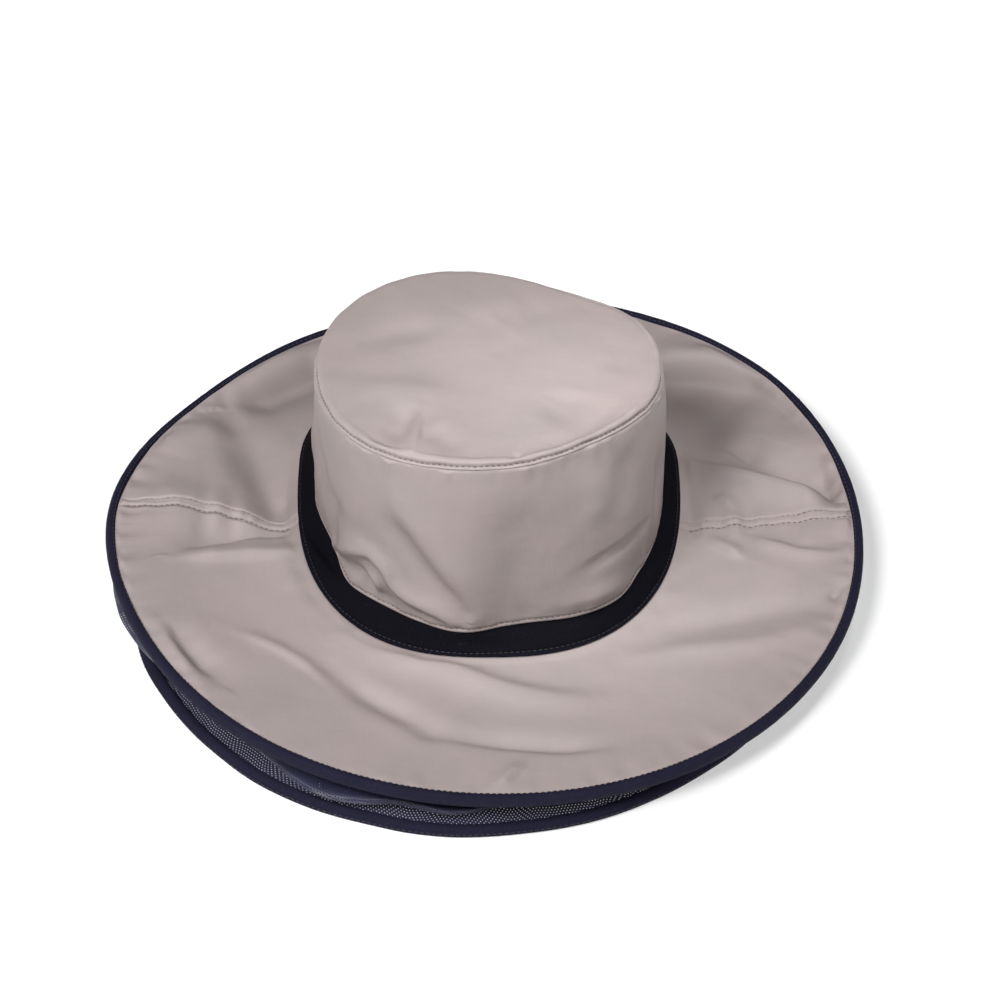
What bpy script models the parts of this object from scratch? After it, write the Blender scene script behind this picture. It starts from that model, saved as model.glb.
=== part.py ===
"""Wide-brimmed sun hat with a mosquito net folded away under its brim, lying on a flat surface.

Metres, +Z up, the hat's front towards -Y. Every ring of the hat is read in the same directions round one
upright axis, counted anticlockwise from the right-hand brim seam, so neighbouring pieces share their columns.
"""

import math
from collections import namedtuple

import bpy
from mathutils import Vector

# Cloth
HALF_COLUMNS = 32
TAFFETA = 0.0012
RIBBON = 0.0012
NET_WALL = 0.0010
SEAM_GAP = 0.0003

# Crown foot: the lower edge of the crown's side wall, measured from the axis
HEAD_HALF_WIDTH = 0.0868
HEAD_FRONT = 0.0863
HEAD_BACK = 0.0940
HEAD_WIDEST = 0.0380
HEAD_SQUARENESS = 2.5
HEAD_DENT = 0.0050

# Tip: the flat top of the crown
TIP_HALF_WIDTH = 0.0820
TIP_FRONT = 0.0755
TIP_BACK = 0.0820
TIP_WIDEST = 0.0080
TIP_SQUARENESS = 2.2
TIP_DENT = 0.0040
TIP_DOME = 0.0040
TIP_ROLL = 0.0045
TIP_HOLLOW = 0.0030

# Crown side wall
CROWN_RISE = 0.0840
CROWN_SLOPE = 0.0060
CROWN_FULLNESS = 0.0010
CROWN_FOLD = 0.0040

# Ribbon band round the crown foot
BAND_FLARE = 0.0090
BAND_RISE = 0.0080
BAND_TUCK = 0.0060
BAND_LIP = 0.0025

# Brim
BRIM_RADIUS = 0.1790
BRIM_SETBACK = -0.0060
BRIM_LIFT = 0.0245
BRIM_DISH = 0.0045
BRIM_TUCK = 0.0030
BRIM_FOLD = 0.0045

# Binding round the hoop in the brim's edge
BINDING_WIDTH = 0.0050
BINDING_HEIGHT = 0.0066
BINDING_DROP = 0.0016

# Net, folded to and fro under the brim, and the hem that the hat rests on
HEM_RADIUS = 0.1680
HEM_SIDE_SHIFT = -0.0072
HEM_SETBACK = -0.0205
HEM_WIDTH = 0.0060
HEM_HEIGHT = 0.0048
NET_FOLD_DEPTH = 0.0400
NET_PEEK = 0.0100

# The ring heights follow one another up the hat.
BAND_FOOT_LIFT = BRIM_LIFT - BRIM_DISH
CROWN_FOOT_LIFT = BAND_FOOT_LIFT + BAND_RISE
SEAM_LIFT = CROWN_FOOT_LIFT + CROWN_RISE

# Seats: the side wall hangs under the tip's edge, and the band is tucked inside the side wall.
SIDE_DROP = 2 * SEAM_GAP
BAND_INSET = TAFFETA + 3 * SEAM_GAP
BAND_LIP_RISE = BAND_LIP / 4
HEM_BEVEL = HEM_HEIGHT / 4

# Where each panel has its rings, as shares of the way across it, and the steps of the tip's rolled edge
TIP_RINGS = (0.34, 0.62, 0.86)
TIP_ROLL_TURNS = (75, 35, 0)
SIDE_RINGS = (0.0, 0.07, 0.22, 0.38, 0.54, 0.70, 0.86, 1.0)
BRIM_RINGS = (0.015, 0.18, 0.36, 0.54, 0.72, 0.88, 1.0)
BINDING_SIDES = 8
HALF_WAY = 0.5
EDGE_FADE = 1 / 6
BRIM_EASE = 0.6
SHARP_ANGLE = 50
HALVINGS = 40

Oval = namedtuple("Oval", "half_width front back widest squareness")
HEAD = Oval(HEAD_HALF_WIDTH, HEAD_FRONT, HEAD_BACK, HEAD_WIDEST, HEAD_SQUARENESS)
BAND_FOOT = Oval(
    HEAD_HALF_WIDTH + BAND_FLARE, HEAD_FRONT + BAND_FLARE, HEAD_BACK + BAND_FLARE, HEAD_WIDEST, HEAD_SQUARENESS
)
TIP = Oval(TIP_HALF_WIDTH, TIP_FRONT, TIP_BACK, TIP_WIDEST, TIP_SQUARENESS)

# Dents pull a ring in towards the axis: direction, spread to each side, depth as a share of the ring's dent.
Dent = namedtuple("Dent", "direction spread depth")
HEAD_DENTS = (
    Dent(direction=199, spread=24, depth=0.80),
    Dent(direction=236, spread=22, depth=0.60),
    Dent(direction=262, spread=14, depth=-0.40),
    Dent(direction=284, spread=22, depth=0.75),
    Dent(direction=314, spread=14, depth=-0.40),
)
TIP_DENTS = (
    Dent(direction=310, spread=40, depth=1.00),
    Dent(direction=64, spread=36, depth=1.20),
    Dent(direction=112, spread=34, depth=-0.50),
)

# How a ring wanders round the hat: direction, reach as a share of its radius, lift as a share of its height.
Wander = namedtuple("Wander", "direction reach lift")
BRIM_EDGE_WANDER = (
    Wander(direction=0, reach=0.995, lift=1.02),
    Wander(direction=30, reach=1.000, lift=1.12),
    Wander(direction=60, reach=1.000, lift=1.02),
    Wander(direction=90, reach=0.994, lift=0.90),
    Wander(direction=120, reach=0.983, lift=0.80),
    Wander(direction=150, reach=0.986, lift=0.86),
    Wander(direction=180, reach=1.017, lift=1.18),
    Wander(direction=210, reach=1.000, lift=1.16),
    Wander(direction=240, reach=0.998, lift=1.11),
    Wander(direction=270, reach=0.999, lift=1.03),
    Wander(direction=300, reach=1.000, lift=0.90),
    Wander(direction=330, reach=1.000, lift=0.88),
)
BAND_FOOT_WANDER = (
    Wander(direction=0, reach=1.0, lift=0.92),
    Wander(direction=45, reach=1.0, lift=1.00),
    Wander(direction=90, reach=1.0, lift=1.10),
    Wander(direction=135, reach=1.0, lift=1.20),
    Wander(direction=180, reach=1.0, lift=0.92),
    Wander(direction=225, reach=1.0, lift=0.95),
    Wander(direction=270, reach=1.0, lift=1.00),
    Wander(direction=315, reach=1.0, lift=0.97),
)
# The tip leans back: its lift here is a share of CROWN_SLOPE, added to the seam's height.
TIP_LEAN = (
    Wander(direction=0, reach=1.0, lift=0.0),
    Wander(direction=45, reach=1.0, lift=-1.3),
    Wander(direction=90, reach=1.0, lift=-0.8),
    Wander(direction=135, reach=1.0, lift=-0.4),
    Wander(direction=180, reach=1.0, lift=-0.1),
    Wander(direction=225, reach=1.0, lift=0.4),
    Wander(direction=270, reach=1.0, lift=1.0),
    Wander(direction=315, reach=1.0, lift=1.1),
)

# Folds run between two places on a piece, each a direction and a share of the way across it; width is a share
# of the piece's breadth and height a share of its fold, below zero for a valley.
Fold = namedtuple("Fold", "from_direction from_share to_direction to_share width height")
BRIM_FOLDS = (
    Fold(from_direction=48, from_share=0.25, to_direction=22, to_share=0.45, width=0.30, height=-1.0),
    Fold(from_direction=14, from_share=0.15, to_direction=14, to_share=0.95, width=0.12, height=0.5),
    Fold(from_direction=150, from_share=0.15, to_direction=168, to_share=0.40, width=0.28, height=-0.9),
    Fold(from_direction=160, from_share=0.70, to_direction=140, to_share=0.80, width=0.22, height=0.5),
    Fold(from_direction=190, from_share=0.10, to_direction=192, to_share=0.70, width=0.14, height=-0.6),
    Fold(from_direction=222, from_share=0.80, to_direction=240, to_share=0.55, width=0.16, height=-0.7),
    Fold(from_direction=262, from_share=0.70, to_direction=292, to_share=0.70, width=0.12, height=-0.5),
    Fold(from_direction=250, from_share=0.25, to_direction=275, to_share=0.12, width=0.16, height=-0.5),
    Fold(from_direction=330, from_share=0.40, to_direction=342, to_share=0.90, width=0.14, height=0.4),
)
CROWN_FOLDS = (
    Fold(from_direction=228, from_share=0.20, to_direction=258, to_share=0.90, width=0.10, height=1.0),
    Fold(from_direction=214, from_share=0.75, to_direction=244, to_share=0.92, width=0.10, height=0.9),
    Fold(from_direction=222, from_share=0.55, to_direction=236, to_share=0.95, width=0.10, height=-0.9),
    Fold(from_direction=304, from_share=0.90, to_direction=330, to_share=0.45, width=0.12, height=-0.8),
    Fold(from_direction=185, from_share=0.30, to_direction=205, to_share=0.85, width=0.14, height=-0.6),
    Fold(from_direction=20, from_share=0.30, to_direction=70, to_share=0.85, width=0.18, height=-0.8),
    Fold(from_direction=110, from_share=0.80, to_direction=150, to_share=0.25, width=0.16, height=-0.8),
)
TIP_FOLDS = (
    Fold(from_direction=232, from_share=0.70, to_direction=228, to_share=0.40, width=0.14, height=-0.9),
    Fold(from_direction=300, from_share=0.70, to_direction=330, to_share=0.55, width=0.20, height=-0.7),
    Fold(from_direction=100, from_share=0.40, to_direction=60, to_share=0.60, width=0.24, height=0.6),
)

# The net's path from the binding down to the hem: inset as a share of the fold's depth, height as a share of
# the room under the binding, and how far the path follows the hem's ring instead of the brim's edge.
NetFold = namedtuple("NetFold", "inset height to_hem top_peek middle_peek")
NET_PATH = (
    NetFold(inset=-0.070, height=1.00, to_hem=0.0, top_peek=0.0, middle_peek=0.0),
    NetFold(inset=0.050, height=0.84, to_hem=0.0, top_peek=1.0, middle_peek=0.0),
    NetFold(inset=0.900, height=0.68, to_hem=0.1, top_peek=0.0, middle_peek=0.0),
    NetFold(inset=1.000, height=0.61, to_hem=0.2, top_peek=0.0, middle_peek=0.0),
    NetFold(inset=0.900, height=0.54, to_hem=0.4, top_peek=0.0, middle_peek=0.0),
    NetFold(inset=0.160, height=0.54, to_hem=0.7, top_peek=0.0, middle_peek=0.9),
    NetFold(inset=0.160, height=0.40, to_hem=0.8, top_peek=0.0, middle_peek=1.0),
    NetFold(inset=0.950, height=0.35, to_hem=1.0, top_peek=0.0, middle_peek=0.0),
    NetFold(inset=1.020, height=0.28, to_hem=1.0, top_peek=0.0, middle_peek=0.0),
    NetFold(inset=0.940, height=0.20, to_hem=1.0, top_peek=0.0, middle_peek=0.0),
)
# Where the net's top fold puffs out past the binding, and its middle fold towards the hem: shares of NET_PEEK.
TOP_PEEKS = (
    Dent(direction=64, spread=16, depth=0.90),
    Dent(direction=34, spread=20, depth=0.95),
    Dent(direction=203, spread=18, depth=0.95),
)
MIDDLE_PEEKS = (
    Dent(direction=238, spread=18, depth=0.60),
    Dent(direction=266, spread=20, depth=0.45),
)


def unit(direction):
    angle = math.radians(direction)
    return Vector((math.cos(angle), math.sin(angle), 0))


def swell(direction, dents):
    """The sum of the dents' depths at a direction; each one fades smoothly over its spread."""
    total = 0.0
    for dent in dents:
        turn = abs((direction - dent.direction + 180) % 360 - 180)
        if turn < dent.spread:
            total += dent.depth * (0.5 + 0.5 * math.cos(math.pi * turn / dent.spread))
    return total


def wander(direction, rows, column):
    """A smooth closed curve through one column of a table of directions."""
    turn = direction % 360
    last = len(rows)
    for index in range(last):
        here, after = rows[index], rows[(index + 1) % last]
        start = here.direction
        span = (after.direction - start) % 360
        if turn - start <= span:
            before, beyond = rows[index - 1], rows[(index + 2) % last]
            break
    value, after_value = getattr(here, column), getattr(after, column)
    back = (start - before.direction) % 360
    forward = (beyond.direction - after.direction) % 360
    slope = (after_value - getattr(before, column)) / (span + back)
    after_slope = (getattr(beyond, column) - value) / (span + forward)
    share = (turn - start) / span
    return (
        (2 * share**3 - 3 * share**2 + 1) * value
        + (share**3 - 2 * share**2 + share) * span * slope
        + (3 * share**2 - 2 * share**3) * after_value
        + (share**3 - share**2) * span * after_slope
    )


def oval_reach(direction, oval):
    """How far an egg-shaped oval lies from the axis, found by halving the interval."""
    along = unit(direction)
    near = 0.0
    far = oval.half_width + oval.front + oval.back
    for _ in range(HALVINGS):
        reach = (near + far) / 2
        depth = oval.back - oval.widest
        if reach * along.y < oval.widest:
            depth = oval.front + oval.widest
        across = abs(reach * along.x / oval.half_width) ** oval.squareness
        lengthwise = abs((reach * along.y - oval.widest) / depth) ** oval.squareness
        if across + lengthwise > 1:
            far = reach
        else:
            near = reach
    return reach


def circle_reach(direction, radius, centre):
    """How far a circle about another centre lies from the axis."""
    along = unit(direction).dot(centre)
    return along + math.sqrt(radius**2 - centre.length_squared + along**2)


def at(direction, reach, lift):
    return unit(direction) * reach + Vector((0, 0, lift))


def tip_seam(direction):
    reach = oval_reach(direction, TIP) - TIP_DENT * swell(direction, TIP_DENTS)
    return at(direction, reach, SEAM_LIFT + CROWN_SLOPE * wander(direction, TIP_LEAN, "lift"))


def band_foot(direction):
    lift = BAND_FOOT_LIFT * wander(direction, BAND_FOOT_WANDER, "lift")
    return at(direction, oval_reach(direction, BAND_FOOT), lift)


def crown_foot(direction):
    reach = oval_reach(direction, HEAD) - HEAD_DENT * swell(direction, HEAD_DENTS)
    return at(direction, reach, band_foot(direction).z + BAND_RISE)


def brim_edge(direction):
    reach = circle_reach(direction, BRIM_RADIUS, Vector((0, BRIM_SETBACK, 0)))
    reach *= wander(direction, BRIM_EDGE_WANDER, "reach")
    return at(direction, reach, BRIM_LIFT * wander(direction, BRIM_EDGE_WANDER, "lift"))


def hem_edge(direction):
    return at(direction, circle_reach(direction, HEM_RADIUS, Vector((HEM_SIDE_SHIFT, HEM_SETBACK, 0))), 0)


def inwards(point, distance, rise=0.0):
    """The point moved towards the axis by distance and up by rise."""
    flat = Vector((point.x, point.y, 0))
    return point - flat.normalized() * distance + Vector((0, 0, rise))


def share_fade(share):
    """Folds fade out at both edges of a panel, where it is sewn to the next one."""
    return max(0.0, min(1.0, share / EDGE_FADE, (1 - share) / EDGE_FADE))


def fold_height(point, folds, place, breadth):
    """The height of all folds at a point, each a soft ridge or valley along the line between its two ends."""
    total = 0.0
    for fold in folds:
        start = place(fold.from_direction, fold.from_share)
        line = place(fold.to_direction, fold.to_share) - start
        share = max(0.0, min(1.0, (point - start).dot(line) / line.length_squared))
        distance = (point - start - line * share).length
        total += fold.height * math.exp(-((distance / (fold.width * breadth)) ** 2))
    return total


def tip_place(direction, share):
    """A point of the smooth tip, from its centre at share 0 to its rolled edge at share 1."""
    seam = tip_seam(direction)
    middle = sum((tip_seam(turn) for turn in range(0, 360, 90)), Vector()) / 4
    flat = middle.lerp(seam, share)
    return flat + Vector((0, 0, TIP_ROLL + TIP_DOME * (1 - share**2)))


def crown_place(direction, share):
    """A point of the smooth side wall, from the tip's seam at share 0 to the foot at share 1."""
    seam, foot = tip_seam(direction), crown_foot(direction)
    fullness = CROWN_FULLNESS * math.sin(math.pi * share)
    return inwards(seam.lerp(foot, share), -fullness)


def crown_surface(direction, share):
    point = crown_place(direction, share)
    height = fold_height(point, CROWN_FOLDS, crown_place, CROWN_RISE)
    return inwards(point, -CROWN_FOLD * share_fade(share) * height)


def brim_place(direction, share):
    """A point of the smooth brim, from the band's foot at share 0 to the bound edge at share 1."""
    foot, edge = band_foot(direction), brim_edge(direction)
    foot.z -= RIBBON + SEAM_GAP
    point = foot.lerp(edge, share)
    ease = share * share * (3 - 2 * share)
    point.z = foot.z + (edge.z - foot.z) * ((1 - BRIM_EASE) * share + BRIM_EASE * ease)
    return point


def turned_sheet(name, rings, material, thickness, side, closed=True):
    """A cloth wall: a grid of rings, listed from the middle or the top outwards, thickened to one side."""
    count = len(rings[0])
    pole = [rings.pop(0)[0]] if rings[0][0] == rings[0][1] else []
    points = pole + [point for row in rings for point in row]
    faces = []
    for row in range(len(rings) - 1):
        for column in range(count if closed else count - 1):
            a = len(pole) + row * count + column
            b = len(pole) + row * count + (column + 1) % count
            faces.append((a, a + count, b + count, b))
    if pole:
        faces += [(0, 1 + column, 1 + (column + 1) % count) for column in range(count)]
    piece = new_piece(name, points, faces, material)
    wall = piece.modifiers.new("Wall", "SOLIDIFY")
    wall.thickness = thickness
    wall.offset = side
    return piece


def turned_tube(name, sections, material):
    """A closed tube round the hat: a section for each column, its points anticlockwise with outwards to the right."""
    count = len(sections[0])
    points = [point for section in sections for point in section]
    faces = []
    for column in range(len(sections)):
        after = (column + 1) % len(sections)
        for corner in range(count):
            beside = (corner + 1) % count
            faces.append(
                (column * count + corner, after * count + corner, after * count + beside, column * count + beside)
            )
    return new_piece(name, points, faces, material)


def new_piece(name, points, faces, material):
    mesh = bpy.data.meshes.new(name)
    mesh.from_pydata(points, [], faces)
    mesh.materials.append(material)
    mesh.shade_smooth()
    mesh.set_sharp_from_angle(angle=math.radians(SHARP_ANGLE))
    piece = bpy.data.objects.new(name, mesh)
    bpy.context.scene.collection.objects.link(piece)
    return piece


def new_material(name, colour, roughness):
    material = bpy.data.materials.new(name)
    material.use_nodes = True
    shader = material.node_tree.nodes["Principled BSDF"]
    shader.inputs["Base Color"].default_value = (*colour, 1)
    shader.inputs["Roughness"].default_value = roughness
    shader.inputs["Metallic"].default_value = 0.0
    return material


def make_tip(directions, taffeta):
    """The top panel: a soft dome whose edge rolls over to the seam."""
    centre = tip_place(0, 0)
    rings = [[centre] * len(directions)]
    for share in TIP_RINGS:
        row = []
        for direction in directions:
            point = tip_place(direction, share)
            point.z += TIP_HOLLOW * fold_height(point, TIP_FOLDS, tip_place, TIP_HALF_WIDTH)
            row.append(point)
        rings.append(row)
    # The roll is a quarter turn from the flat top down to the seam.
    for turn in TIP_ROLL_TURNS:
        angle = math.radians(turn)
        inset = TIP_ROLL * (1 - math.cos(angle))
        rise = TIP_ROLL * math.sin(angle)
        rings.append([inwards(tip_seam(direction), inset, rise) for direction in directions])
    return turned_sheet("crown_tip", rings, taffeta, TAFFETA, -1)


def make_side(directions, taffeta):
    """The side wall, from just under the tip's edge to the crown's foot."""
    rings = []
    for share in SIDE_RINGS:
        drop = Vector((0, 0, SIDE_DROP * (1 - share)))
        rings.append([crown_surface(direction, share) - drop for direction in directions])
    return turned_sheet("crown_side", rings, taffeta, TAFFETA, -1)


def make_band(directions, ribbon):
    """The ribbon: tucked up inside the crown's foot, then flared out to lie on the brim."""
    tucked = 1 - BAND_TUCK / CROWN_RISE
    gap = Vector((0, 0, SEAM_GAP))
    rings = [
        [inwards(crown_surface(direction, tucked), BAND_INSET) for direction in directions],
        [inwards(crown_foot(direction), BAND_INSET) - gap for direction in directions],
        [crown_foot(direction).lerp(band_foot(direction), HALF_WAY) - gap for direction in directions],
        [inwards(band_foot(direction), BAND_LIP, BAND_LIP_RISE) for direction in directions],
        [band_foot(direction) for direction in directions],
    ]
    return turned_sheet("crown_band", rings, ribbon, RIBBON, -1)


def make_brim_half(name, directions, taffeta):
    """Half of the brim, from under the band to the bound edge, cut back from both seams by half a gap."""
    rings = [[inwards(brim_place(direction, 0), BRIM_TUCK) for direction in directions]]
    for share in BRIM_RINGS:
        row = []
        for direction in directions:
            point = brim_place(direction, share)
            height = fold_height(point, BRIM_FOLDS, brim_place, BRIM_RADIUS - BAND_FOOT.front)
            point.z += BRIM_FOLD * share_fade(share) * height
            row.append(point)
        rings.append(row)
    half_gap = SEAM_GAP / 2
    side = 1 if directions[1] < 180 else -1
    for row in rings:
        row[0].y += side * half_gap
        row[-1].y += side * half_gap
    return turned_sheet(name, rings, taffeta, TAFFETA, -1, closed=False)


def binding_centre(direction):
    edge = brim_edge(direction)
    return inwards(edge, -(SEAM_GAP + BINDING_WIDTH / 2), -BINDING_DROP)


def make_binding(directions, ribbon):
    """The narrow tube of ribbon round the brim's springy hoop, with a flat side against the brim's edge."""
    scale = 0.5 / math.cos(math.pi / BINDING_SIDES)
    sections = []
    for direction in directions:
        section = []
        for corner in range(BINDING_SIDES):
            angle = 2 * math.pi * (corner + 0.5) / BINDING_SIDES
            outward = BINDING_WIDTH * scale * math.cos(angle)
            rise = BINDING_HEIGHT * scale * math.sin(angle)
            section.append(inwards(binding_centre(direction), -outward, rise))
        sections.append(section)
    return turned_tube("brim_binding", sections, ribbon)


def net_point(direction, fold):
    edge, hem = brim_edge(direction), hem_edge(direction)
    ring_point = edge.lerp(hem, fold.to_hem)
    room = binding_centre(direction).z - BINDING_HEIGHT / 2 - SEAM_GAP - NET_WALL / 2
    peek = fold.top_peek * swell(direction, TOP_PEEKS) + fold.middle_peek * swell(direction, MIDDLE_PEEKS)
    point = inwards(ring_point, NET_FOLD_DEPTH * fold.inset - NET_PEEK * peek)
    point.z = room * fold.height
    return point


def make_net(directions, mesh_cloth):
    """The net, folded in, out and in again under the brim, down to the hem's inner side."""
    rings = [[net_point(direction, fold) for direction in directions] for fold in NET_PATH]
    clearance = HEM_WIDTH + SEAM_GAP
    rings.append([inwards(hem_edge(direction), clearance, HEM_HEIGHT / 2) for direction in directions])
    return turned_sheet("net", rings, mesh_cloth, NET_WALL, 0)


def make_hem(directions, ribbon):
    """The bound lower edge of the net, flat underneath where the hat rests on it."""
    corners = (
        (HEM_WIDTH, HEM_BEVEL),
        (HEM_WIDTH - HEM_BEVEL, 0),
        (HEM_BEVEL, 0),
        (0, HEM_BEVEL),
        (0, HEM_HEIGHT - HEM_BEVEL),
        (HEM_BEVEL, HEM_HEIGHT),
        (HEM_WIDTH - HEM_BEVEL, HEM_HEIGHT),
        (HEM_WIDTH, HEM_HEIGHT - HEM_BEVEL),
    )
    sections = []
    for direction in directions:
        edge = hem_edge(direction)
        sections.append([inwards(edge, inset, rise) for inset, rise in corners])
    return turned_tube("net_hem", sections, ribbon)


def centre_on_floor(pieces):
    """Hangs every piece on one empty, placed so that the hat's box stands centred over the origin."""
    corners = [vertex.co for piece in pieces for vertex in piece.data.vertices]
    hat = bpy.data.objects.new("hat", None)
    bpy.context.scene.collection.objects.link(hat)
    hat.location = (
        -(min(corner.x for corner in corners) + max(corner.x for corner in corners)) / 2,
        -(min(corner.y for corner in corners) + max(corner.y for corner in corners)) / 2,
        -min(corner.z for corner in corners),
    )
    for piece in pieces:
        piece.parent = hat


def main():
    for thing in list(bpy.data.objects):
        bpy.data.objects.remove(thing)
    taffeta = new_material("taupe_taffeta", colour=(0.42, 0.36, 0.34), roughness=0.5)
    ribbon = new_material("navy_ribbon", colour=(0.012, 0.012, 0.030), roughness=0.6)
    mesh_cloth = new_material("navy_net", colour=(0.030, 0.030, 0.075), roughness=0.5)
    step = 180 / HALF_COLUMNS
    directions = [step * column for column in range(2 * HALF_COLUMNS)]
    rear = [step * column for column in range(HALF_COLUMNS + 1)]
    front = [180 + direction for direction in rear]
    pieces = [
        make_tip(directions, taffeta),
        make_side(directions, taffeta),
        make_band(directions, ribbon),
        make_brim_half("brim_rear", rear, taffeta),
        make_brim_half("brim_front", front, taffeta),
        make_binding(directions, ribbon),
        make_net(directions, mesh_cloth),
        make_hem(directions, ribbon),
    ]
    centre_on_floor(pieces)


main()
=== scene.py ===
import math
from collections import namedtuple

import bpy
import numpy as np
from bpy.props import FloatProperty, FloatVectorProperty, IntProperty, PointerProperty
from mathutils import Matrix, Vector, noise


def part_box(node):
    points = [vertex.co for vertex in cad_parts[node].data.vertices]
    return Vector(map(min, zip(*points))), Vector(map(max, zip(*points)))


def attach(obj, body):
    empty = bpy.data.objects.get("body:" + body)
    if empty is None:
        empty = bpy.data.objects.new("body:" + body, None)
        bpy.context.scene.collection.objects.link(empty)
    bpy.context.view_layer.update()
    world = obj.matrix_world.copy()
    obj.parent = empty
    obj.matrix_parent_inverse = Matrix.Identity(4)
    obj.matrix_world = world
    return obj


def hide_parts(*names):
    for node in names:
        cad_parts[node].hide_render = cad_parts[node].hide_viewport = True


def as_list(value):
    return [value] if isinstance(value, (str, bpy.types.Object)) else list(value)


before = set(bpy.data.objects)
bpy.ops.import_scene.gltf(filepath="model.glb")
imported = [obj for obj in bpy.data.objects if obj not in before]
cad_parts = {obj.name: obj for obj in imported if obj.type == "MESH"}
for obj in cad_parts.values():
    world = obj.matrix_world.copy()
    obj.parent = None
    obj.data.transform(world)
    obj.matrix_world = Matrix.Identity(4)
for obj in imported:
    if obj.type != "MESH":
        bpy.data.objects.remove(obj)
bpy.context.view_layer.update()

bl_info = {
    "name": "Mosquito net hat",
    "version": (1, 0, 0),
    "blender": (4, 5, 0),
    "location": "View3D > Sidebar > Net hat",
    "description": "Cuts and sews the cloth of a wide-brimmed hat with a mosquito net under its brim",
    "category": "Add Mesh",
}

MM = 0.001

# The slots
TAFFETA = "taupe_taffeta"
RIBBON = "navy_ribbon"
NET = "navy_net"

# The solids' own sizes: the crown's foot, its flat tip, the band and the brim, as seen from the upright axis
HEAD_HALF_WIDTH = 0.0868
HEAD_FRONT = 0.0863
HEAD_BACK = 0.0940
HEAD_WIDEST = 0.0380
HEAD_SQUARENESS = 2.5
HEAD_DENT = 0.0050
TIP_HALF_WIDTH = 0.0820
TIP_FRONT = 0.0755
TIP_BACK = 0.0820
TIP_WIDEST = 0.0080
TIP_SQUARENESS = 2.2
TIP_DENT = 0.0040
TIP_DOME = 0.0040
TIP_ROLL = 0.0045
CROWN_RISE = 0.0840
CROWN_SLOPE = 0.0060
CROWN_FULLNESS = 0.0010
BAND_FLARE = 0.0090
BAND_RISE = 0.0080
BAND_TUCK = 0.0060
BAND_SEAT = 0.0015
BRIM_RADIUS = 0.1790
BRIM_SETBACK = -0.0060
BRIM_LIFT = 0.0245
BRIM_DISH = 0.0045
BRIM_EASE = 0.6
BRIM_TUCK = 0.0030
BINDING_WIDTH = 0.0050
BINDING_HEIGHT = 0.0066
BINDING_DROP = 0.0016
HEM_RADIUS = 0.1680
HEM_SIDE_SHIFT = -0.0072
HEM_SETBACK = -0.0205
HEM_WIDTH = 0.0060
HEM_HEIGHT = 0.0048
NET_FOLD_DEPTH = 0.0400
NET_PEEK = 0.0100
NET_FLOOR_GAP = 0.0006

FREE_BRIM = BRIM_RADIUS - HEAD_HALF_WIDTH
HEAD_GIRTH = 2 * math.pi * HEAD_HALF_WIDTH
BRIM_GIRTH = 2 * math.pi * BRIM_RADIUS
BAND_FOOT_LIFT = BRIM_LIFT - BRIM_DISH
SEAM_LIFT = BAND_FOOT_LIFT + BAND_RISE + CROWN_RISE

Oval = namedtuple("Oval", "half_width front back widest squareness")
HEAD = Oval(HEAD_HALF_WIDTH, HEAD_FRONT, HEAD_BACK, HEAD_WIDEST, HEAD_SQUARENESS)
BAND_FOOT = HEAD._replace(
    half_width=HEAD_HALF_WIDTH + BAND_FLARE, front=HEAD_FRONT + BAND_FLARE, back=HEAD_BACK + BAND_FLARE
)
TIP = Oval(TIP_HALF_WIDTH, TIP_FRONT, TIP_BACK, TIP_WIDEST, TIP_SQUARENESS)

# Dents pull a ring in towards the axis: direction, spread to each side, depth as a share of the ring's dent.
Dent = namedtuple("Dent", "direction spread depth")
HEAD_DENTS = (
    Dent(199, 24, 0.80),
    Dent(236, 22, 0.60),
    Dent(262, 14, -0.40),
    Dent(284, 22, 0.75),
    Dent(314, 14, -0.40),
)
TIP_DENTS = (
    Dent(310, 40, 1.00),
    Dent(64, 36, 1.20),
    Dent(112, 34, -0.50),
)
TOP_PEEKS = (
    Dent(64, 16, 0.90),
    Dent(34, 20, 0.95),
    Dent(203, 18, 0.70),
)
MIDDLE_PEEKS = (
    Dent(247, 15, 0.80),
    Dent(264, 9, 0.50),
)

# How rings wander, at equal steps of direction from the right-hand seam: shares of the brim's reach and lift,
# of the band's lift and of the crown's slope
BRIM_REACH = (0.995, 1.000, 1.000, 0.994, 0.983, 0.986, 1.017, 1.000, 0.998, 0.999, 1.000, 1.000)
BRIM_LIFTS = (1.02, 1.12, 1.02, 0.90, 0.80, 0.86, 1.18, 1.16, 1.11, 1.03, 0.90, 0.88)
BAND_LIFTS = (0.92, 1.00, 1.10, 1.20, 0.92, 0.95, 1.00, 0.97)
TIP_LEANS = (0.0, -1.3, -0.8, -0.4, -0.1, 0.4, 1.0, 1.1)

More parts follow.
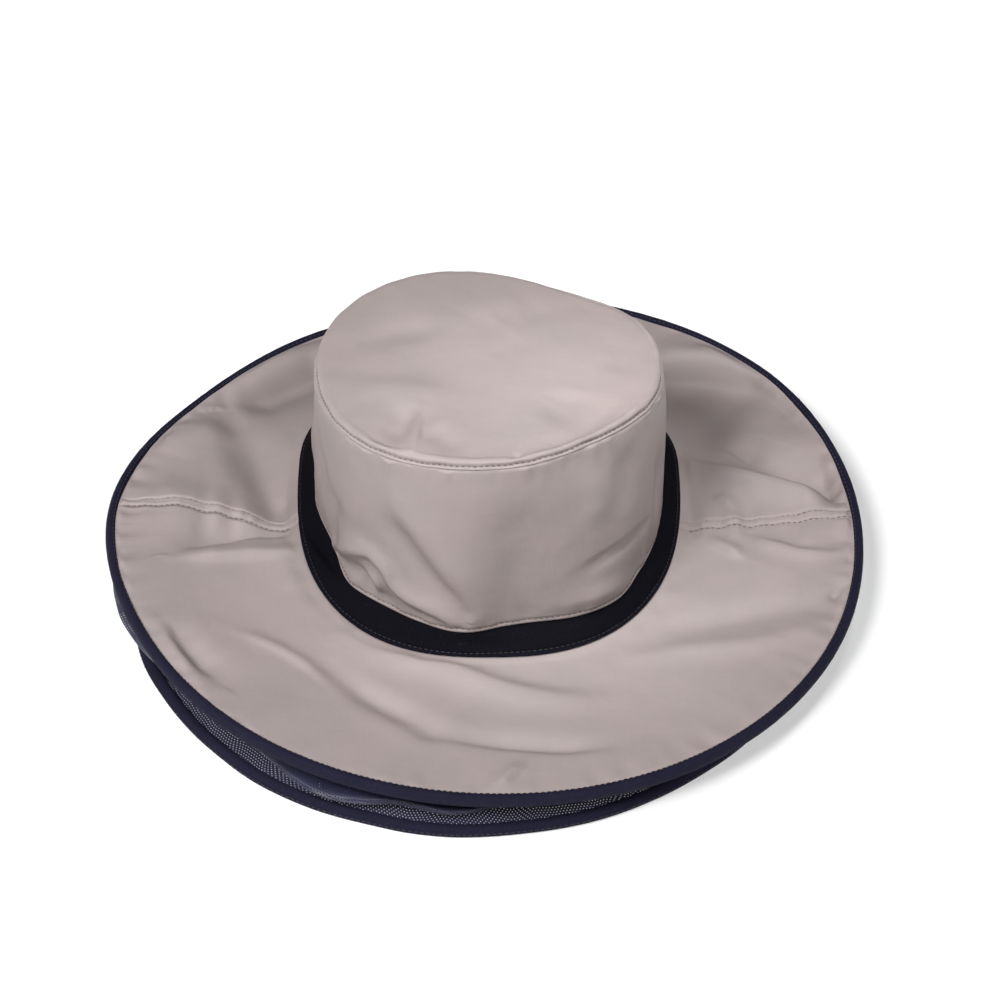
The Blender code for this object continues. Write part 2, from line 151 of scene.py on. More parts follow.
# A crease is a ridge, or a valley where its height is below zero. Its columns are width and height in
# millimetres, lean, which makes the flank on the path's left wider than the other, how much of the height is
# left at the start and at the end, and then the places that its path goes through, each a direction and a
# share of the way across the panel. The height eases in and out over a share of the path at each end.
CREASE_EASE = 0.4
BRIM_CREASES = (
    # The bowl behind the crown on the right, the ridge beyond it and the long fold beside the right seam
    (17, -5.5, -0.2, 0.6, 0.4, (60, 0.20), (46, 0.32), (33, 0.46), (26, 0.60)),
    (13, -11.0, -0.4, 0.9, 0.4, (50.5, 0.52), (44.5, 0.68), (36.5, 0.84), (28.5, 0.96)),
    (8, 3.5, 0.0, 0.7, 0.5, (51.5, 0.75), (43, 0.91), (33, 1.00)),
    (7, 7.8, -0.3, 0.3, 0.4, (24, 0.04), (16, 0.28), (10, 0.50), (5, 0.78), (3, 0.92)),
    (10, -9.5, 0.1, 0.6, 0.8, (18.5, 0.52), (12.5, 0.72), (7, 0.89), (3, 1.00)),
    (3.5, 1.7, 0.3, 0.2, 0.2, (9, 0.20), (4, 0.34)),
    # The deep valley behind the crown on the left, with its ridges
    (12, -11.0, -0.35, 0.4, 0.9, (146, 0.81), (140.5, 0.70), (134.5, 0.63), (128.5, 0.59)),
    (13, -9.0, 0.0, 0.6, 0.35, (151.5, 0.57), (161, 0.27), (171.5, 0.14), (181, 0.05)),
    (10, 4.0, 0.0, 0.4, 0.3, (166, 0.97), (160.5, 0.87), (155.5, 0.74), (152, 0.56)),
    (8, 3.5, 0.0, 0.5, 0.8, (139, 1.00), (132, 0.90), (124.5, 0.83)),
    # The triangular facet in front of the left seam
    (15, 3.6, 0.0, 0.1, 0.4, (179, 0.92), (178, 0.62), (177, 0.34)),
    (7, -5.0, 0.4, 0.2, 0.5, (191, 0.72), (187, 0.48), (184, 0.26), (181, 0.04)),
    (5, 3.4, 0.3, 0.2, 0.6, (192.5, 0.71), (192.5, 0.40), (191.5, 0.07)),
    # The front
    (4.4, 2.5, -0.3, 0.2, 0.2, (207, 0.92), (214, 0.92), (221, 0.93)),
    (6, -3.8, 0.3, 0.5, 0.3, (212, 0.86), (217.5, 0.85), (224, 0.85)),
    (3.4, 1.8, 0.2, 0.1, 0.2, (212, 0.61), (221.5, 0.46), (230, 0.41), (238.5, 0.45)),
    (6.5, -4.2, 0.0, 0.3, 0.6, (234.5, 0.33), (244.5, 0.40), (253, 0.47), (260, 0.57)),
    (7, 3.8, -0.2, 0.2, 0.1, (229.5, 0.09), (241.5, 0.05), (257, 0.07), (273.5, 0.22), (286, 0.34),
        (297.5, 0.44)),
    (4.8, -3.4, 0.3, 0.2, 0.1, (258, 0.60), (272, 0.63), (282, 0.70), (292, 0.76)),
    (3.2, 2.4, 0.4, 0.7, 0.1, (271, 0.99), (273, 0.88), (276, 0.78)),
    # The right side, below its seam
    (4.0, 3.0, 0.3, 0.3, 0.1, (354, 0.14), (350, 0.28), (347, 0.42)),
    (4.0, 2.1, -0.2, 0.2, 0.5, (355, 0.36), (352, 0.54), (350, 0.72), (350, 0.97)),
    (7.9, -2.6, 0.0, 0.1, 0.5, (310, 0.12), (324, 0.32), (333, 0.58), (340, 0.94)),
    (6.2, 2.0, 0.0, 0.1, 0.4, (297, 0.14), (315, 0.35), (326, 0.66), (335, 0.94)),
    (3.1, -2.0, 0.0, 0.9, 0.1, (344, 0.98), (340, 0.90)),
    # The back, which the crown hides from the front
    (12.3, -4.8, 0.0, 0.3, 0.4, (72, 0.20), (80, 0.50), (76, 0.85)),
    (8.8, 3.9, 0.2, 0.2, 0.5, (96, 0.30), (104, 0.60), (101, 0.92)),
    (7.9, -3.9, 0.0, 0.4, 0.1, (116, 0.15), (121, 0.45), (113, 0.75)),
)
CROWN_CREASES = (
    # The folds over the left front corner
    (9, 2.0, 0.0, 0.1, 0.6, (236, 0.06), (241, 0.26), (250, 0.47), (259, 0.68), (264, 0.90)),
    (7, -3.2, -0.3, 0.1, 0.8, (234, 0.30), (241, 0.45), (250.5, 0.64), (258, 0.77), (262, 0.87)),
    (4, 3.3, 0.2, 0.7, 0.7, (201.5, 0.97), (224.5, 0.69), (233.5, 0.70), (238.5, 0.80), (245, 0.85),
        (253, 0.88), (259, 0.94)),
    (5.5, -3.2, 0.0, 0.8, 0.8, (207.5, 1.00), (223.5, 0.85), (229.5, 0.93), (236, 0.96)),
    (2.6, 2.2, 0.0, 0.3, 0.6, (225.5, 0.80), (231.5, 0.83), (232, 0.93)),
    (8, -2.4, 0.0, 0.3, 0.3, (193, 0.72), (205, 0.62), (219, 0.58)),
    # The right front
    (3.4, -2.1, -0.4, 0.1, 0.4, (299, 0.71), (313, 0.665), (332, 0.70)),
    (6, 1.5, 0.0, 0.2, 0.2, (290, 0.92), (306, 0.90), (320, 0.95)),
    (8, 1.7, 0.0, 0.2, 0.1, (305, 0.08), (308, 0.30), (306, 0.50)),
    (9, -2.0, 0.0, 0.3, 0.1, (318, 0.10), (321, 0.30), (316, 0.50)),
    (7, -1.7, 0.0, 0.2, 0.3, (340, 0.34), (346, 0.55), (341, 0.80)),
    (11, -1.8, 0.0, 0.1, 0.4, (276, 0.20), (279, 0.50), (282, 0.92)),
    # The sides and the back
    (11, -3.3, 0.0, 0.4, 0.6, (184, 0.28), (192, 0.55), (204, 0.86)),
    (14, -4.5, 0.0, 0.5, 0.6, (20, 0.30), (42, 0.52), (70, 0.85)),
    (6, 2.2, 0.2, 0.2, 0.3, (16, 0.62), (34, 0.80), (52, 0.95)),
    (13, -4.5, 0.0, 0.6, 0.4, (110, 0.82), (130, 0.52), (152, 0.25)),
    (6, 2.4, -0.2, 0.4, 0.2, (96, 0.94), (112, 0.60), (118, 0.30)),
    (8, 1.8, 0.0, 0.1, 0.3, (82, 0.35), (90, 0.55), (86, 0.80)),
    (7, 2.1, 0.1, 0.4, 0.1, (158, 0.92), (166, 0.70), (163, 0.45)),
)
TIP_CREASES = (
    (3.2, 1.7, -0.4, 0.2, 0.5, (227, 0.58), (236, 0.74), (242, 0.93)),
    (8, -3.8, 0.0, 0.1, 0.5, (222, 0.56), (229, 0.76), (231, 0.93)),
    (7, -1.8, 0.0, 0.1, 0.2, (240, 0.68), (251, 0.80), (263, 0.88)),
    (5, -1.7, 0.2, 0.1, 0.2, (268, 0.92), (298, 0.91), (318, 0.87), (340, 0.86)),
    (2.4, -1.5, 0.0, 0.8, 0.2, (278, 0.99), (282, 0.91)),
    (15, -3.2, 0.0, 0.4, 0.4, (296, 0.72), (316, 0.66), (334, 0.56)),
    (19, 2.7, 0.0, 0.5, 0.5, (104, 0.36), (84, 0.50), (62, 0.62)),
    (10, -2.1, 0.0, 0.2, 0.4, (96, 0.30), (66, 0.54), (52, 0.84)),
    (9, -1.8, 0.0, 0.4, 0.2, (166, 0.80), (150, 0.56), (128, 0.34)),
    (8, 1.7, 0.0, 0.3, 0.2, (196, 0.84), (208, 0.55), (252, 0.40)),
    (7, -1.4, 0.0, 0.6, 0.1, (20, 0.92), (4, 0.78), (350, 0.72)),
)
BAND_CREASES = (
    (2.6, -1.4, 0.3, 0.2, 0.5, (180, 0.88), (193, 0.50), (212, 0.16)),
    (2.4, 1.2, 0.0, 0.3, 0.3, (189, 0.92), (203, 0.52), (214, 0.30)),
    (3.0, 0.9, 0.0, 0.2, 0.2, (318, 0.30), (332, 0.60), (344, 0.70)),
    (3.0, -0.8, 0.0, 0.2, 0.2, (258, 0.20), (268, 0.55), (280, 0.70)),
    (3.0, -1.0, 0.0, 0.2, 0.2, (60, 0.30), (74, 0.60), (86, 0.75)),
    (3.0, 1.0, 0.0, 0.2, 0.2, (128, 0.75), (140, 0.45), (150, 0.25)),
)

# The net's path from the binding down to the hem: inset as a share of the fold's depth, height as a share of
# the room under the binding, how far the path follows the hem's ring instead of the brim's edge, and how much
# of the upper and of the middle peeks it takes
NetFold = namedtuple("NetFold", "inset height to_hem top_peek middle_peek")
NET_PATH = (
    NetFold(-0.090, 1.02, 0.0, 0.0, 0.0),
    NetFold(0.060, 0.86, 0.0, 1.0, 0.0),
    NetFold(0.500, 0.74, 0.1, 0.3, 0.0),
    NetFold(0.940, 0.67, 0.1, 0.0, 0.0),
    NetFold(1.000, 0.61, 0.2, 0.0, 0.0),
    NetFold(0.920, 0.56, 0.4, 0.0, 0.0),
    NetFold(0.500, 0.56, 0.6, 0.0, 0.3),
    NetFold(0.260, 0.54, 0.7, 0.0, 0.9),
    NetFold(0.240, 0.47, 0.8, 0.0, 1.0),
    NetFold(0.280, 0.40, 0.8, 0.0, 1.0),
    NetFold(0.600, 0.36, 1.0, 0.0, 0.2),
    NetFold(0.960, 0.34, 1.0, 0.0, 0.0),
    NetFold(1.020, 0.28, 1.0, 0.0, 0.0),
    NetFold(0.960, 0.21, 1.0, 0.0, 0.0),
    NetFold(0.500, 0.20, 1.0, 0.0, 0.0),
    NetFold(0.150, 0.12, 1.0, 0.0, 0.0),
)

# Gathers in the net: from one to the next round the hat, how many lie down it, a number that makes them
# differ, and how far they stand out and up
Gathers = namedtuple("Gathers", "pitch count seed out up")
NET_GATHERS = (Gathers(0.011, 5, 81, 0.0010, 0.0005), Gathers(0.050, 9, 5, 0.0018, 0.0008))


def hem_centre():
    """Where the hem's ring has its middle, as its solid lies."""
    low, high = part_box("net_hem")
    return (np.array(low) + np.array(high)) / 2


AXIS = hem_centre() * (1, 1, 0) - np.array((HEM_SIDE_SHIFT, HEM_SETBACK, 0))
UP = np.array((0.0, 0.0, 1.0))

# The sewing: the fells of the side seams, the rows of stitches and how far cloth is held down beside a seam
FELL_WIDTH = 0.0048
FELL_RISE = 0.0008
FELL_TUG = 2.8
FELL_STITCH_OUTSET = 0.0006
FOOT_LIFT = 0.0006
TOPSTITCH_RISE = 0.0021
FOOT_STITCH_RISE = 0.0022
BAND_STITCH_SHARE = 0.87
THREAD_LIE = 0.0002
EDGE_GRIP = (0, 0.003)
FELL_GRIP = (0, 0.004)
FOOT_GRIP = (0, 0.006)
FOOT_LIFT_END = (0, 0.005)
FELL_BACK = (-0.0004, 0.0004)
FELL_FRONT = (FELL_WIDTH - 0.0006, FELL_WIDTH + 0.0002)
BAND_GROOVE_SHARE = 0.86
BAND_GAP = 0.0004

# How far creases and ripples reach: over the tip's rolled edge and towards the band's lower edge, in shares
TIP_CREASES_END = (0.97, 1.35)
TIP_RIPPLES_END = (0.9, 1.6)
BAND_CREASES_END = (0.75, 1.0)

# Puckers along a seam: from gather to gather, how far they reach from it, and a number that makes them differ
Puckers = namedtuple("Puckers", "pitch reach seed")
EDGE_PUCKERS = Puckers(0.0080, 0.008, 5.0)
BRIM_FOOT_PUCKERS = Puckers(0.0090, 0.008, 8.0)
FELL_PUCKERS = Puckers(0.0105, 0.013, 2.0)
CROWN_TOP_PUCKERS = Puckers(0.0080, 0.006, 31.0)
CROWN_FOOT_PUCKERS = Puckers(0.0070, 0.007, 37.0)
TIP_PUCKERS = Puckers(0.0100, 0.008, 43.0)

# A bell-shaped rise across a line, or a groove where it is taken away: its height and its width
Bell = namedtuple("Bell", "height width")
SEAM_TUG = Bell(1.6, 0.045)
FELL_GROOVE = Bell(0.00096, 0.0008)
FELL_WEAR = Bell(1.0, 0.0035)
CROWN_TOP_GROOVE = Bell(0.0006, 0.0006)
CROWN_STITCH_GROOVE = Bell(0.0005, 0.0006)
CROWN_FOOT_GROOVE = Bell(0.0007, 0.0005)
TOPSTITCH_GROOVE = Bell(0.0015, 0.0011)
TIP_SEAM_GROOVE = Bell(0.0006, 0.0005)
BAND_GROOVE = Bell(0.0005, 0.05)

# How much closer the brim's columns stand at its side seams
SEAM_CROWDING = 0.7

# Numbers that make the ripples of each panel differ
BRIM_SEED = 3.0
CROWN_SEED = 21.0
TIP_SEED = 41.0
BAND_SEED = 61.0

# Across the binding, in shares of its width and half its height: over the brim's edge, round it and back
BINDING_OUTLINE = (
    (-0.54, 0.50), (-0.44, 0.80), (-0.20, 0.94), (0.08, 0.88), (0.28, 0.60), (0.38, 0.20), (0.40, -0.30),
    (0.34, -0.75), (0.10, -1.0), (-0.20, -1.0), (-0.44, -0.86), (-0.56, -0.5), (-0.60, 0.0),
)

# The photo's side in pixels, how far the hat's middle lies from the photo's, and where the camera looks
PICTURE = 1002
SHIFT_X = 12
SHIFT_Y = 18.5
LOOK_AT = (0, -0.006, 0.025)

# Far lights: degrees to the right of the camera and above the floor, and how wide they look in degrees
KEY_LIGHT = (-42, 52, 14)
FILL_LIGHT = (36, 50, 14)

# Near lights: where they hang and what they shine on
SOFTBOX_PLACE = (-0.52, -0.38, 0.80)
SOFTBOX_TARGET = (0, 0, 0.03)
SOFTBOX_WIDTH = 0.45
SPOT_PLACE = (0.22, 0.10, 1.25)
SPOT_TARGET = (0.050, -0.005, 0.115)
SPOT_ANGLE = 13
SPOT_WIDTH = 0.08
FLOOR_REACH = 6.0


class HatCloth(bpy.types.PropertyGroup):
    """Sizes of the cloth and its sewing."""

    wall: FloatProperty(
        name="Wall", description="Thickness of the doubled taffeta", default=0.0009, unit="LENGTH"
    )
    ribbon: FloatProperty(
        name="Ribbon", description="Thickness of the band's ribbon", default=0.0008, unit="LENGTH"
    )
    columns: IntProperty(name="Columns", description="Steps round the hat", default=384, min=64)
    crease: FloatProperty(
        name="Creases", description="Strength of the creases", default=1.0, min=0, subtype="FACTOR"
    )
    ripple: FloatProperty(
        name="Ripples", description="Height of the cloth's soft unevenness", default=0.0010, unit="LENGTH"
    )
    pucker: FloatProperty(
        name="Puckers", description="Height of the gathers along the seams", default=0.0015, unit="LENGTH"
    )
    thread: FloatProperty(
        name="Thread", description="Width of a weave thread", default=0.00042, unit="LENGTH"
    )
    rib: FloatProperty(name="Rib", description="Width of a rib in the ribbon", default=0.0008, unit="LENGTH")
    hole: FloatProperty(name="Hole", description="Spacing of the net's holes", default=0.0013, unit="LENGTH")
    stitch_pitch: FloatProperty(
        name="Stitch pitch", description="From stitch to stitch", default=0.0027, unit="LENGTH"
    )
    stitch_length: FloatProperty(
        name="Stitch length", description="Length of a stitch", default=0.0020, unit="LENGTH"
    )
    stitch_width: FloatProperty(
        name="Stitch width", description="Thickness of the thread", default=0.00048, unit="LENGTH"
    )


class HatColours(bpy.types.PropertyGroup):
    """Colours of the cloth and the threads."""

    taffeta: FloatVectorProperty(
        name="Taffeta", description="Taupe taffeta", default=(0.302, 0.253, 0.247), subtype="COLOR"
    )
    taffeta_cool: FloatVectorProperty(
        name="Taffeta, cool", description="Its greyer patches", default=(0.284, 0.244, 0.239), subtype="COLOR"
    )
    ribbon: FloatVectorProperty(
        name="Ribbon", description="Navy ribbon", default=(0.0024, 0.0023, 0.0046), subtype="COLOR"
    )
    # Painted highlight: a lit copy of the navy ribbon, laid on the binding, on the hem and on the band's
    # lower edge
    binding: FloatVectorProperty(
        name="Binding", description="Faded bound edges", default=(0.0125, 0.0118, 0.0260), subtype="COLOR"
    )
    net: FloatVectorProperty(
        name="Net", description="Navy net", default=(0.016, 0.016, 0.044), subtype="COLOR"
    )
    taupe_thread: FloatVectorProperty(
        name="Taupe thread", description="On the taffeta", default=(0.120, 0.100, 0.094), subtype="COLOR"
    )
    navy_thread: FloatVectorProperty(
        name="Navy thread", description="On the ribbons", default=(0.00528, 0.00506, 0.01012), subtype="COLOR"
    )
    floor: FloatVectorProperty(
        name="Floor", description="Pale floor", default=(0.80, 0.80, 0.80), subtype="COLOR"
    )


class HatStage(bpy.types.PropertyGroup):
    """Camera and studio light."""

    elevation: FloatProperty(
        name="Elevation", description="Camera above the floor", default=math.radians(42.5), subtype="ANGLE"
    )
    distance: FloatProperty(
        name="Distance", description="From the camera to the hat", default=1.25, unit="LENGTH"
    )
    lens: FloatProperty(name="Lens", description="Focal length in millimetres", default=91.6)
    key: FloatProperty(name="Key", description="Strength of the large soft light on the left", default=1.85)
    fill: FloatProperty(name="Fill", description="Strength of the soft light on the right", default=1.40)
    softbox: FloatProperty(
        name="Softbox", description="Power of the near light on the left in watts", default=5.6
    )
    spot: FloatProperty(
        name="Spot", description="Power of the narrow beam on the crown in watts", default=52.0
    )
    sky: FloatProperty(name="Sky", description="Strength of the even light all round", default=0.06)


def unit(direction):
    """The level unit vector towards a direction, which is in degrees."""
    angle = np.radians(direction)
    return np.stack([np.cos(angle), np.sin(angle), np.zeros_like(angle)], axis=-1)


def swell(direction, dents):
    """The sum of the dents' depths at a direction; each one fades smoothly over its spread."""
    total = 0.0
    for dent in dents:
        turn = np.minimum(np.abs((direction - dent.direction + 180) % 360 - 180) / dent.spread, 1)
        total = total + dent.depth * (0.5 + 0.5 * np.cos(math.pi * turn))
    return total


def curve_through(before, here, after, beyond, share):
    """A smooth curve from here to after, which heads the way its neighbours lie."""
    slope, after_slope = (after - before) / 2, (beyond - here) / 2
    return (
        (2 * share**3 - 3 * share**2 + 1) * here
        + (share**3 - 2 * share**2 + share) * slope
        + (3 * share**2 - 2 * share**3) * after
        + (share**3 - share**2) * after_slope
    )


def wander(direction, row):
    """A smooth closed curve through values at equal steps round the hat, the first one at direction 0."""
    values = np.array(row)
    count = len(values)
    place = np.asarray(direction) % 360 / 360 * count
    index = np.floor(place).astype(int) % count
    before, after, beyond = values[index - 1], values[(index + 1) % count], values[(index + 2) % count]
    return curve_through(before, values[index], after, beyond, place - np.floor(place))


def oval_reach(direction, oval):
    """How far an egg-shaped oval lies from the axis, found by halving the interval."""
    along = unit(direction)
    near = np.zeros_like(along[..., 0])
    far = near + oval.half_width + oval.front + oval.back
    for _ in range(40):
        reach = (near + far) / 2
        in_front = reach * along[..., 1] < oval.widest
        depth = np.where(in_front, oval.front + oval.widest, oval.back - oval.widest)
        across = np.abs(reach * along[..., 0] / oval.half_width) ** oval.squareness
        lengthwise = np.abs((reach * along[..., 1] - oval.widest) / depth) ** oval.squareness
        outside = across + lengthwise > 1
        far = np.where(outside, reach, far)
        near = np.where(outside, near, reach)
    return reach


def circle_reach(direction, radius, x, y):
    """How far a circle about another centre lies from the axis."""
    along = unit(direction) @ np.array([x, y, 0])
    return along + np.sqrt(radius**2 - x**2 - y**2 + along**2)


def at(direction, reach, lift):
    """The points so far from the axis and so high."""
    point = unit(direction) * np.asarray(reach)[..., None]
    point[..., 2] = lift
    return point


def between(first, second, share):
    share = np.asarray(share)[..., None]
    return first * (1 - share) + second * share


def inwards(point, distance, rise=0.0):
    """The points moved towards the axis by distance and up by rise."""
    flat = point * (1, 1, 0)
    flat = flat / np.linalg.norm(flat, axis=-1, keepdims=True)
    moved = point - flat * np.asarray(distance)[..., None]
    moved[..., 2] += rise
    return moved


def tip_seam(direction):
    reach = oval_reach(direction, TIP) - TIP_DENT * swell(direction, TIP_DENTS)
    return at(direction, reach, SEAM_LIFT + CROWN_SLOPE * wander(direction, TIP_LEANS))


def band_foot(direction):
    return at(direction, oval_reach(direction, BAND_FOOT), BAND_FOOT_LIFT * wander(direction, BAND_LIFTS))


def crown_foot(direction):
    reach = oval_reach(direction, HEAD) - HEAD_DENT * swell(direction, HEAD_DENTS)
    return at(direction, reach, band_foot(direction)[..., 2] + BAND_RISE)


def brim_edge(direction):
    reach = circle_reach(direction, BRIM_RADIUS, 0, BRIM_SETBACK) * wander(direction, BRIM_REACH)
    return at(direction, reach, BRIM_LIFT * wander(direction, BRIM_LIFTS))


def hem_edge(direction):
    return at(direction, circle_reach(direction, HEM_RADIUS, HEM_SIDE_SHIFT, HEM_SETBACK), 0)


def binding_centre(direction):
    return inwards(brim_edge(direction), -BINDING_WIDTH / 2, -BINDING_DROP)


def tip_place(direction, share):
    """The smooth tip, from its centre at share 0 to its rolled edge at share 1."""
    middle = tip_seam(np.arange(0, 360, 90)).mean(axis=0)
    point = between(middle, tip_seam(direction), share)
    point[..., 2] += TIP_ROLL + TIP_DOME * (1 - share**2)
    return point


def crown_place(direction, share):
    """The smooth side wall, from the tip's seam at share 0 to the foot at share 1."""
    point = between(tip_seam(direction), crown_foot(direction), share)
    return point + unit(direction) * (CROWN_FULLNESS * np.sin(math.pi * share))[..., None]


def band_place(direction, share):
    return between(crown_foot(direction), band_foot(direction), share)


def brim_place(direction, share):
    """The smooth brim, from under the band's foot at share 0 to the bound edge at share 1."""
    foot, edge = band_foot(direction), brim_edge(direction)
    foot[..., 2] -= BAND_SEAT
    point = between(foot, edge, share)
    ease = share * share * (3 - 2 * share)
    rise = (1 - BRIM_EASE) * share + BRIM_EASE * ease
    point[..., 2] = foot[..., 2] + (edge[..., 2] - foot[..., 2]) * rise
    return point


def smooth_path(points, steps=8):
    """A smooth open curve through the points, with steps between each two."""
    ends = [2 * points[0] - points[1], *points, 2 * points[-1] - points[-2]]
    curve = []
    for four in zip(ends, ends[1:], ends[2:], ends[3:]):
        curve += [curve_through(*four, share) for share in np.arange(steps) / steps]
    return np.array([*curve, points[-1]])


def beside_path(points, path, outward):
    """For each point, its distance from the path, how far along it lies, and whether it is on the left."""
    nearest = np.full(len(points), np.inf)
    along = np.zeros(len(points))
    left = np.zeros(len(points), bool)
    for index, (start, end) in enumerate(zip(path, path[1:])):
        line = end - start
        offset = points - start
        share = np.clip(offset @ line / (line @ line), 0, 1)
        distance = np.linalg.norm(offset - share[:, None] * line, axis=1)
        closer = distance < nearest
        nearest = np.where(closer, distance, nearest)
        along = np.where(closer, (index + share) / (len(path) - 1), along)
        side = (np.cross(line, offset) * outward).sum(axis=1) > 0
        left = np.where(closer, side, left)
    return nearest, along, left


def crease_relief(grid, creases, place, outward):
    """The height of all creases at each point of a grid that lies on a panel."""
    points = grid.reshape(-1, 3)
    facing = np.broadcast_to(outward, grid.shape).reshape(-1, 3)
    relief = np.zeros(len(points))
    for width, height, lean, start, end, *places in creases:
        path = smooth_path([place(*np.float64(spot)) for spot in places])
        reach = 3 * width * MM * (1 + abs(lean))
        close = ((points > path.min(axis=0) - reach) & (points < path.max(axis=0) + reach)).all(axis=1)
        distance, along, left = beside_path(points[close], path, facing[close])
        flank = width * MM * (1 + np.where(left, lean, -lean))
        begun = np.sin(math.pi / 2 * np.clip(along / CREASE_EASE, 0, 1)) ** 2
        ended = np.sin(math.pi / 2 * np.clip((1 - along) / CREASE_EASE, 0, 1)) ** 2
        strength = (start + (1 - start) * begun) * (end + (1 - end) * ended)
        relief[close] += height * MM * strength * np.exp(-((distance / flank) ** 2))
    return relief.reshape(grid.shape[:-1])


def noise_relief(grid, scale, seed):
    """Even noise between -1 and 1 at each point of a grid; scale is the size of its swells in metres."""
    points = (grid.reshape(-1, 3) / scale + seed).tolist()
    return np.array([noise.noise(Vector(point)) for point in points]).reshape(grid.shape[:-1])


def pucker_relief(along, away, puckers):
    """Small gathers square to a seam, which fade away from it; along and away are distances in metres."""
    along, away = np.broadcast_arrays(along, away)
    lengthwise, crosswise = along / puckers.pitch, away / (3 * puckers.reach)
    points = np.stack([lengthwise, crosswise, np.full_like(along, puckers.seed)], axis=-1)
    return noise_relief(points, 1.0, 0.0) * np.exp(-np.abs(away) / puckers.reach)


def bell(away, shape):
    """How high a bell-shaped rise is at a distance from its middle."""
    return shape.height * np.exp(-((away / shape.width) ** 2))


def step(value, start, end):
    """A smooth step from 0 at start to 1 at end."""
    share = np.clip((value - start) / (end - start), 0, 1)
    return share * share * (3 - 2 * share)


def edge_fade(share, fade=1 / 6):
    """Creases are held down at both edges of a panel, where it is sewn to the next one."""
    return np.clip(np.minimum(share, 1 - share) / fade, 0, 1)


def ripples(grid, seed):
    """The soft unevenness of worn cloth: broad swells with smaller ones on them."""
    return noise_relief(grid, 0.036, seed) + 0.25 * noise_relief(grid, 0.014, seed + 7)


def girth(direction, radius):
    """How far round the hat a direction lies, in metres."""
    return np.radians(direction) * radius


def fell_away(point):
    """How far in front of a fell's back edge a point lies. The left fell lies behind the halves' joint."""
    return np.where(point[..., 0] < 0, FELL_WIDTH, 0) - point[..., 1]


def fell_relief(point, edge_away, cloth):
    """A side seam's raised strip, sunk along its two rows of stitches, with gathers square to it."""
    away = fell_away(point)
    gathers = pucker_relief(point[..., 0], np.abs(away - FELL_WIDTH / 2), FELL_PUCKERS)
    gathers *= FELL_TUG * cloth.pucker
    strip = step(away, *FELL_BACK) * (1 - step(away, *FELL_FRONT))
    strip *= 0.7 + 0.9 * noise_relief(point * (1, 0, 0), 0.0032, 6.0)
    sunk = bell(away - FELL_WIDTH, FELL_GROOVE) + bell(away + FELL_STITCH_OUTSET, FELL_GROOVE)
    return gathers * step(edge_away, *FELL_GRIP) + (FELL_RISE * strip - sunk) * step(edge_away, *EDGE_GRIP)


def brim_surface(direction, share, cloth):
    """The creased brim, gathered at its edge and at its foot, with its side seams."""
    point = brim_place(direction, share)
    edge_away, foot_away = (1 - share) * FREE_BRIM, share * FREE_BRIM
    at_edge = pucker_relief(girth(direction, BRIM_RADIUS), edge_away, EDGE_PUCKERS)
    at_edge = at_edge * (1 + bell(point[..., 1], SEAM_TUG)) * step(edge_away, *EDGE_GRIP)
    at_foot = pucker_relief(girth(direction, HEAD_HALF_WIDTH), foot_away, BRIM_FOOT_PUCKERS)
    relief = cloth.crease * edge_fade(share, fade=0.08) * crease_relief(point, BRIM_CREASES, brim_place, UP)
    relief += cloth.ripple * np.clip(share / 0.1, 0, 1) * ripples(point, BRIM_SEED)
    relief += cloth.pucker * (at_edge + at_foot * step(foot_away, *FOOT_GRIP))
    relief += FOOT_LIFT * (1 - step(foot_away, *FOOT_LIFT_END))
    point[..., 2] += relief + fell_relief(point, edge_away, cloth)
    return point


def crown_surface(direction, share, cloth):
    """The creased side wall, with a groove under the tip's seam and its foot turned in and stitched."""
    point = crown_place(direction, share)
    outward = np.broadcast_to(unit(direction), point.shape)
    below_seam, above_foot = share * CROWN_RISE, (1 - share) * CROWN_RISE
    round_it = girth(direction, HEAD_HALF_WIDTH)
    at_top = pucker_relief(round_it, below_seam, CROWN_TOP_PUCKERS) * step(below_seam, 0, 0.001)
    at_foot = pucker_relief(round_it, above_foot, CROWN_FOOT_PUCKERS) * step(above_foot, *EDGE_GRIP)
    relief = cloth.crease * crease_relief(point, CROWN_CREASES, crown_place, outward)
    relief = edge_fade(share, fade=0.1) * (relief + cloth.ripple * ripples(point, CROWN_SEED))
    relief += cloth.pucker * (at_top + at_foot)
    relief -= bell(below_seam, CROWN_TOP_GROOVE) + bell(above_foot, CROWN_FOOT_GROOVE)
    relief -= bell(above_foot - FOOT_STITCH_RISE, CROWN_STITCH_GROOVE)
    return point + outward * relief[..., None]


def tip_surface(direction, share, cloth):
    """The creased tip up to share 1, then its edge rolling over to the seam at share 2."""
    flat_share = np.minimum(share, 1)
    turn = math.pi / 2 * (2 - np.maximum(share, 1))
    seam = tip_seam(direction)
    rolled = inwards(seam, TIP_ROLL * (1 - np.cos(turn)), TIP_ROLL * np.sin(turn))
    inset = 1 - TIP_ROLL / np.linalg.norm(seam[..., :2], axis=-1)
    flat = tip_place(direction, flat_share * inset)
    flat[..., 2] -= TIP_DOME * (1 - inset**2)
    point = np.where((share <= 1)[..., None], flat, rolled)
    to_seam = TIP_ROLL * turn + TIP_HALF_WIDTH * (1 - flat_share)
    puckers = 0.6 * pucker_relief(girth(direction, TIP_HALF_WIDTH), to_seam, TIP_PUCKERS)
    relief = cloth.crease * crease_relief(point, TIP_CREASES, tip_place, UP)
    relief *= 1 - step(share, *TIP_CREASES_END)
    relief += cloth.ripple * ripples(point, TIP_SEED) * (1 - step(share, *TIP_RIPPLES_END))
    relief += cloth.pucker * puckers * step(to_seam, 0, 0.002)
    point[..., 2] += relief
    outward = unit(direction) * np.cos(turn)[..., None] + UP * np.sin(turn)[..., None]
    groove = bell(to_seam - TOPSTITCH_RISE, TOPSTITCH_GROOVE) + bell(to_seam, TIP_SEAM_GROOVE)
    groove *= 0.85 + 0.6 * noise_relief(seam, 0.009, 47.0)
    return point - outward * groove[..., None]


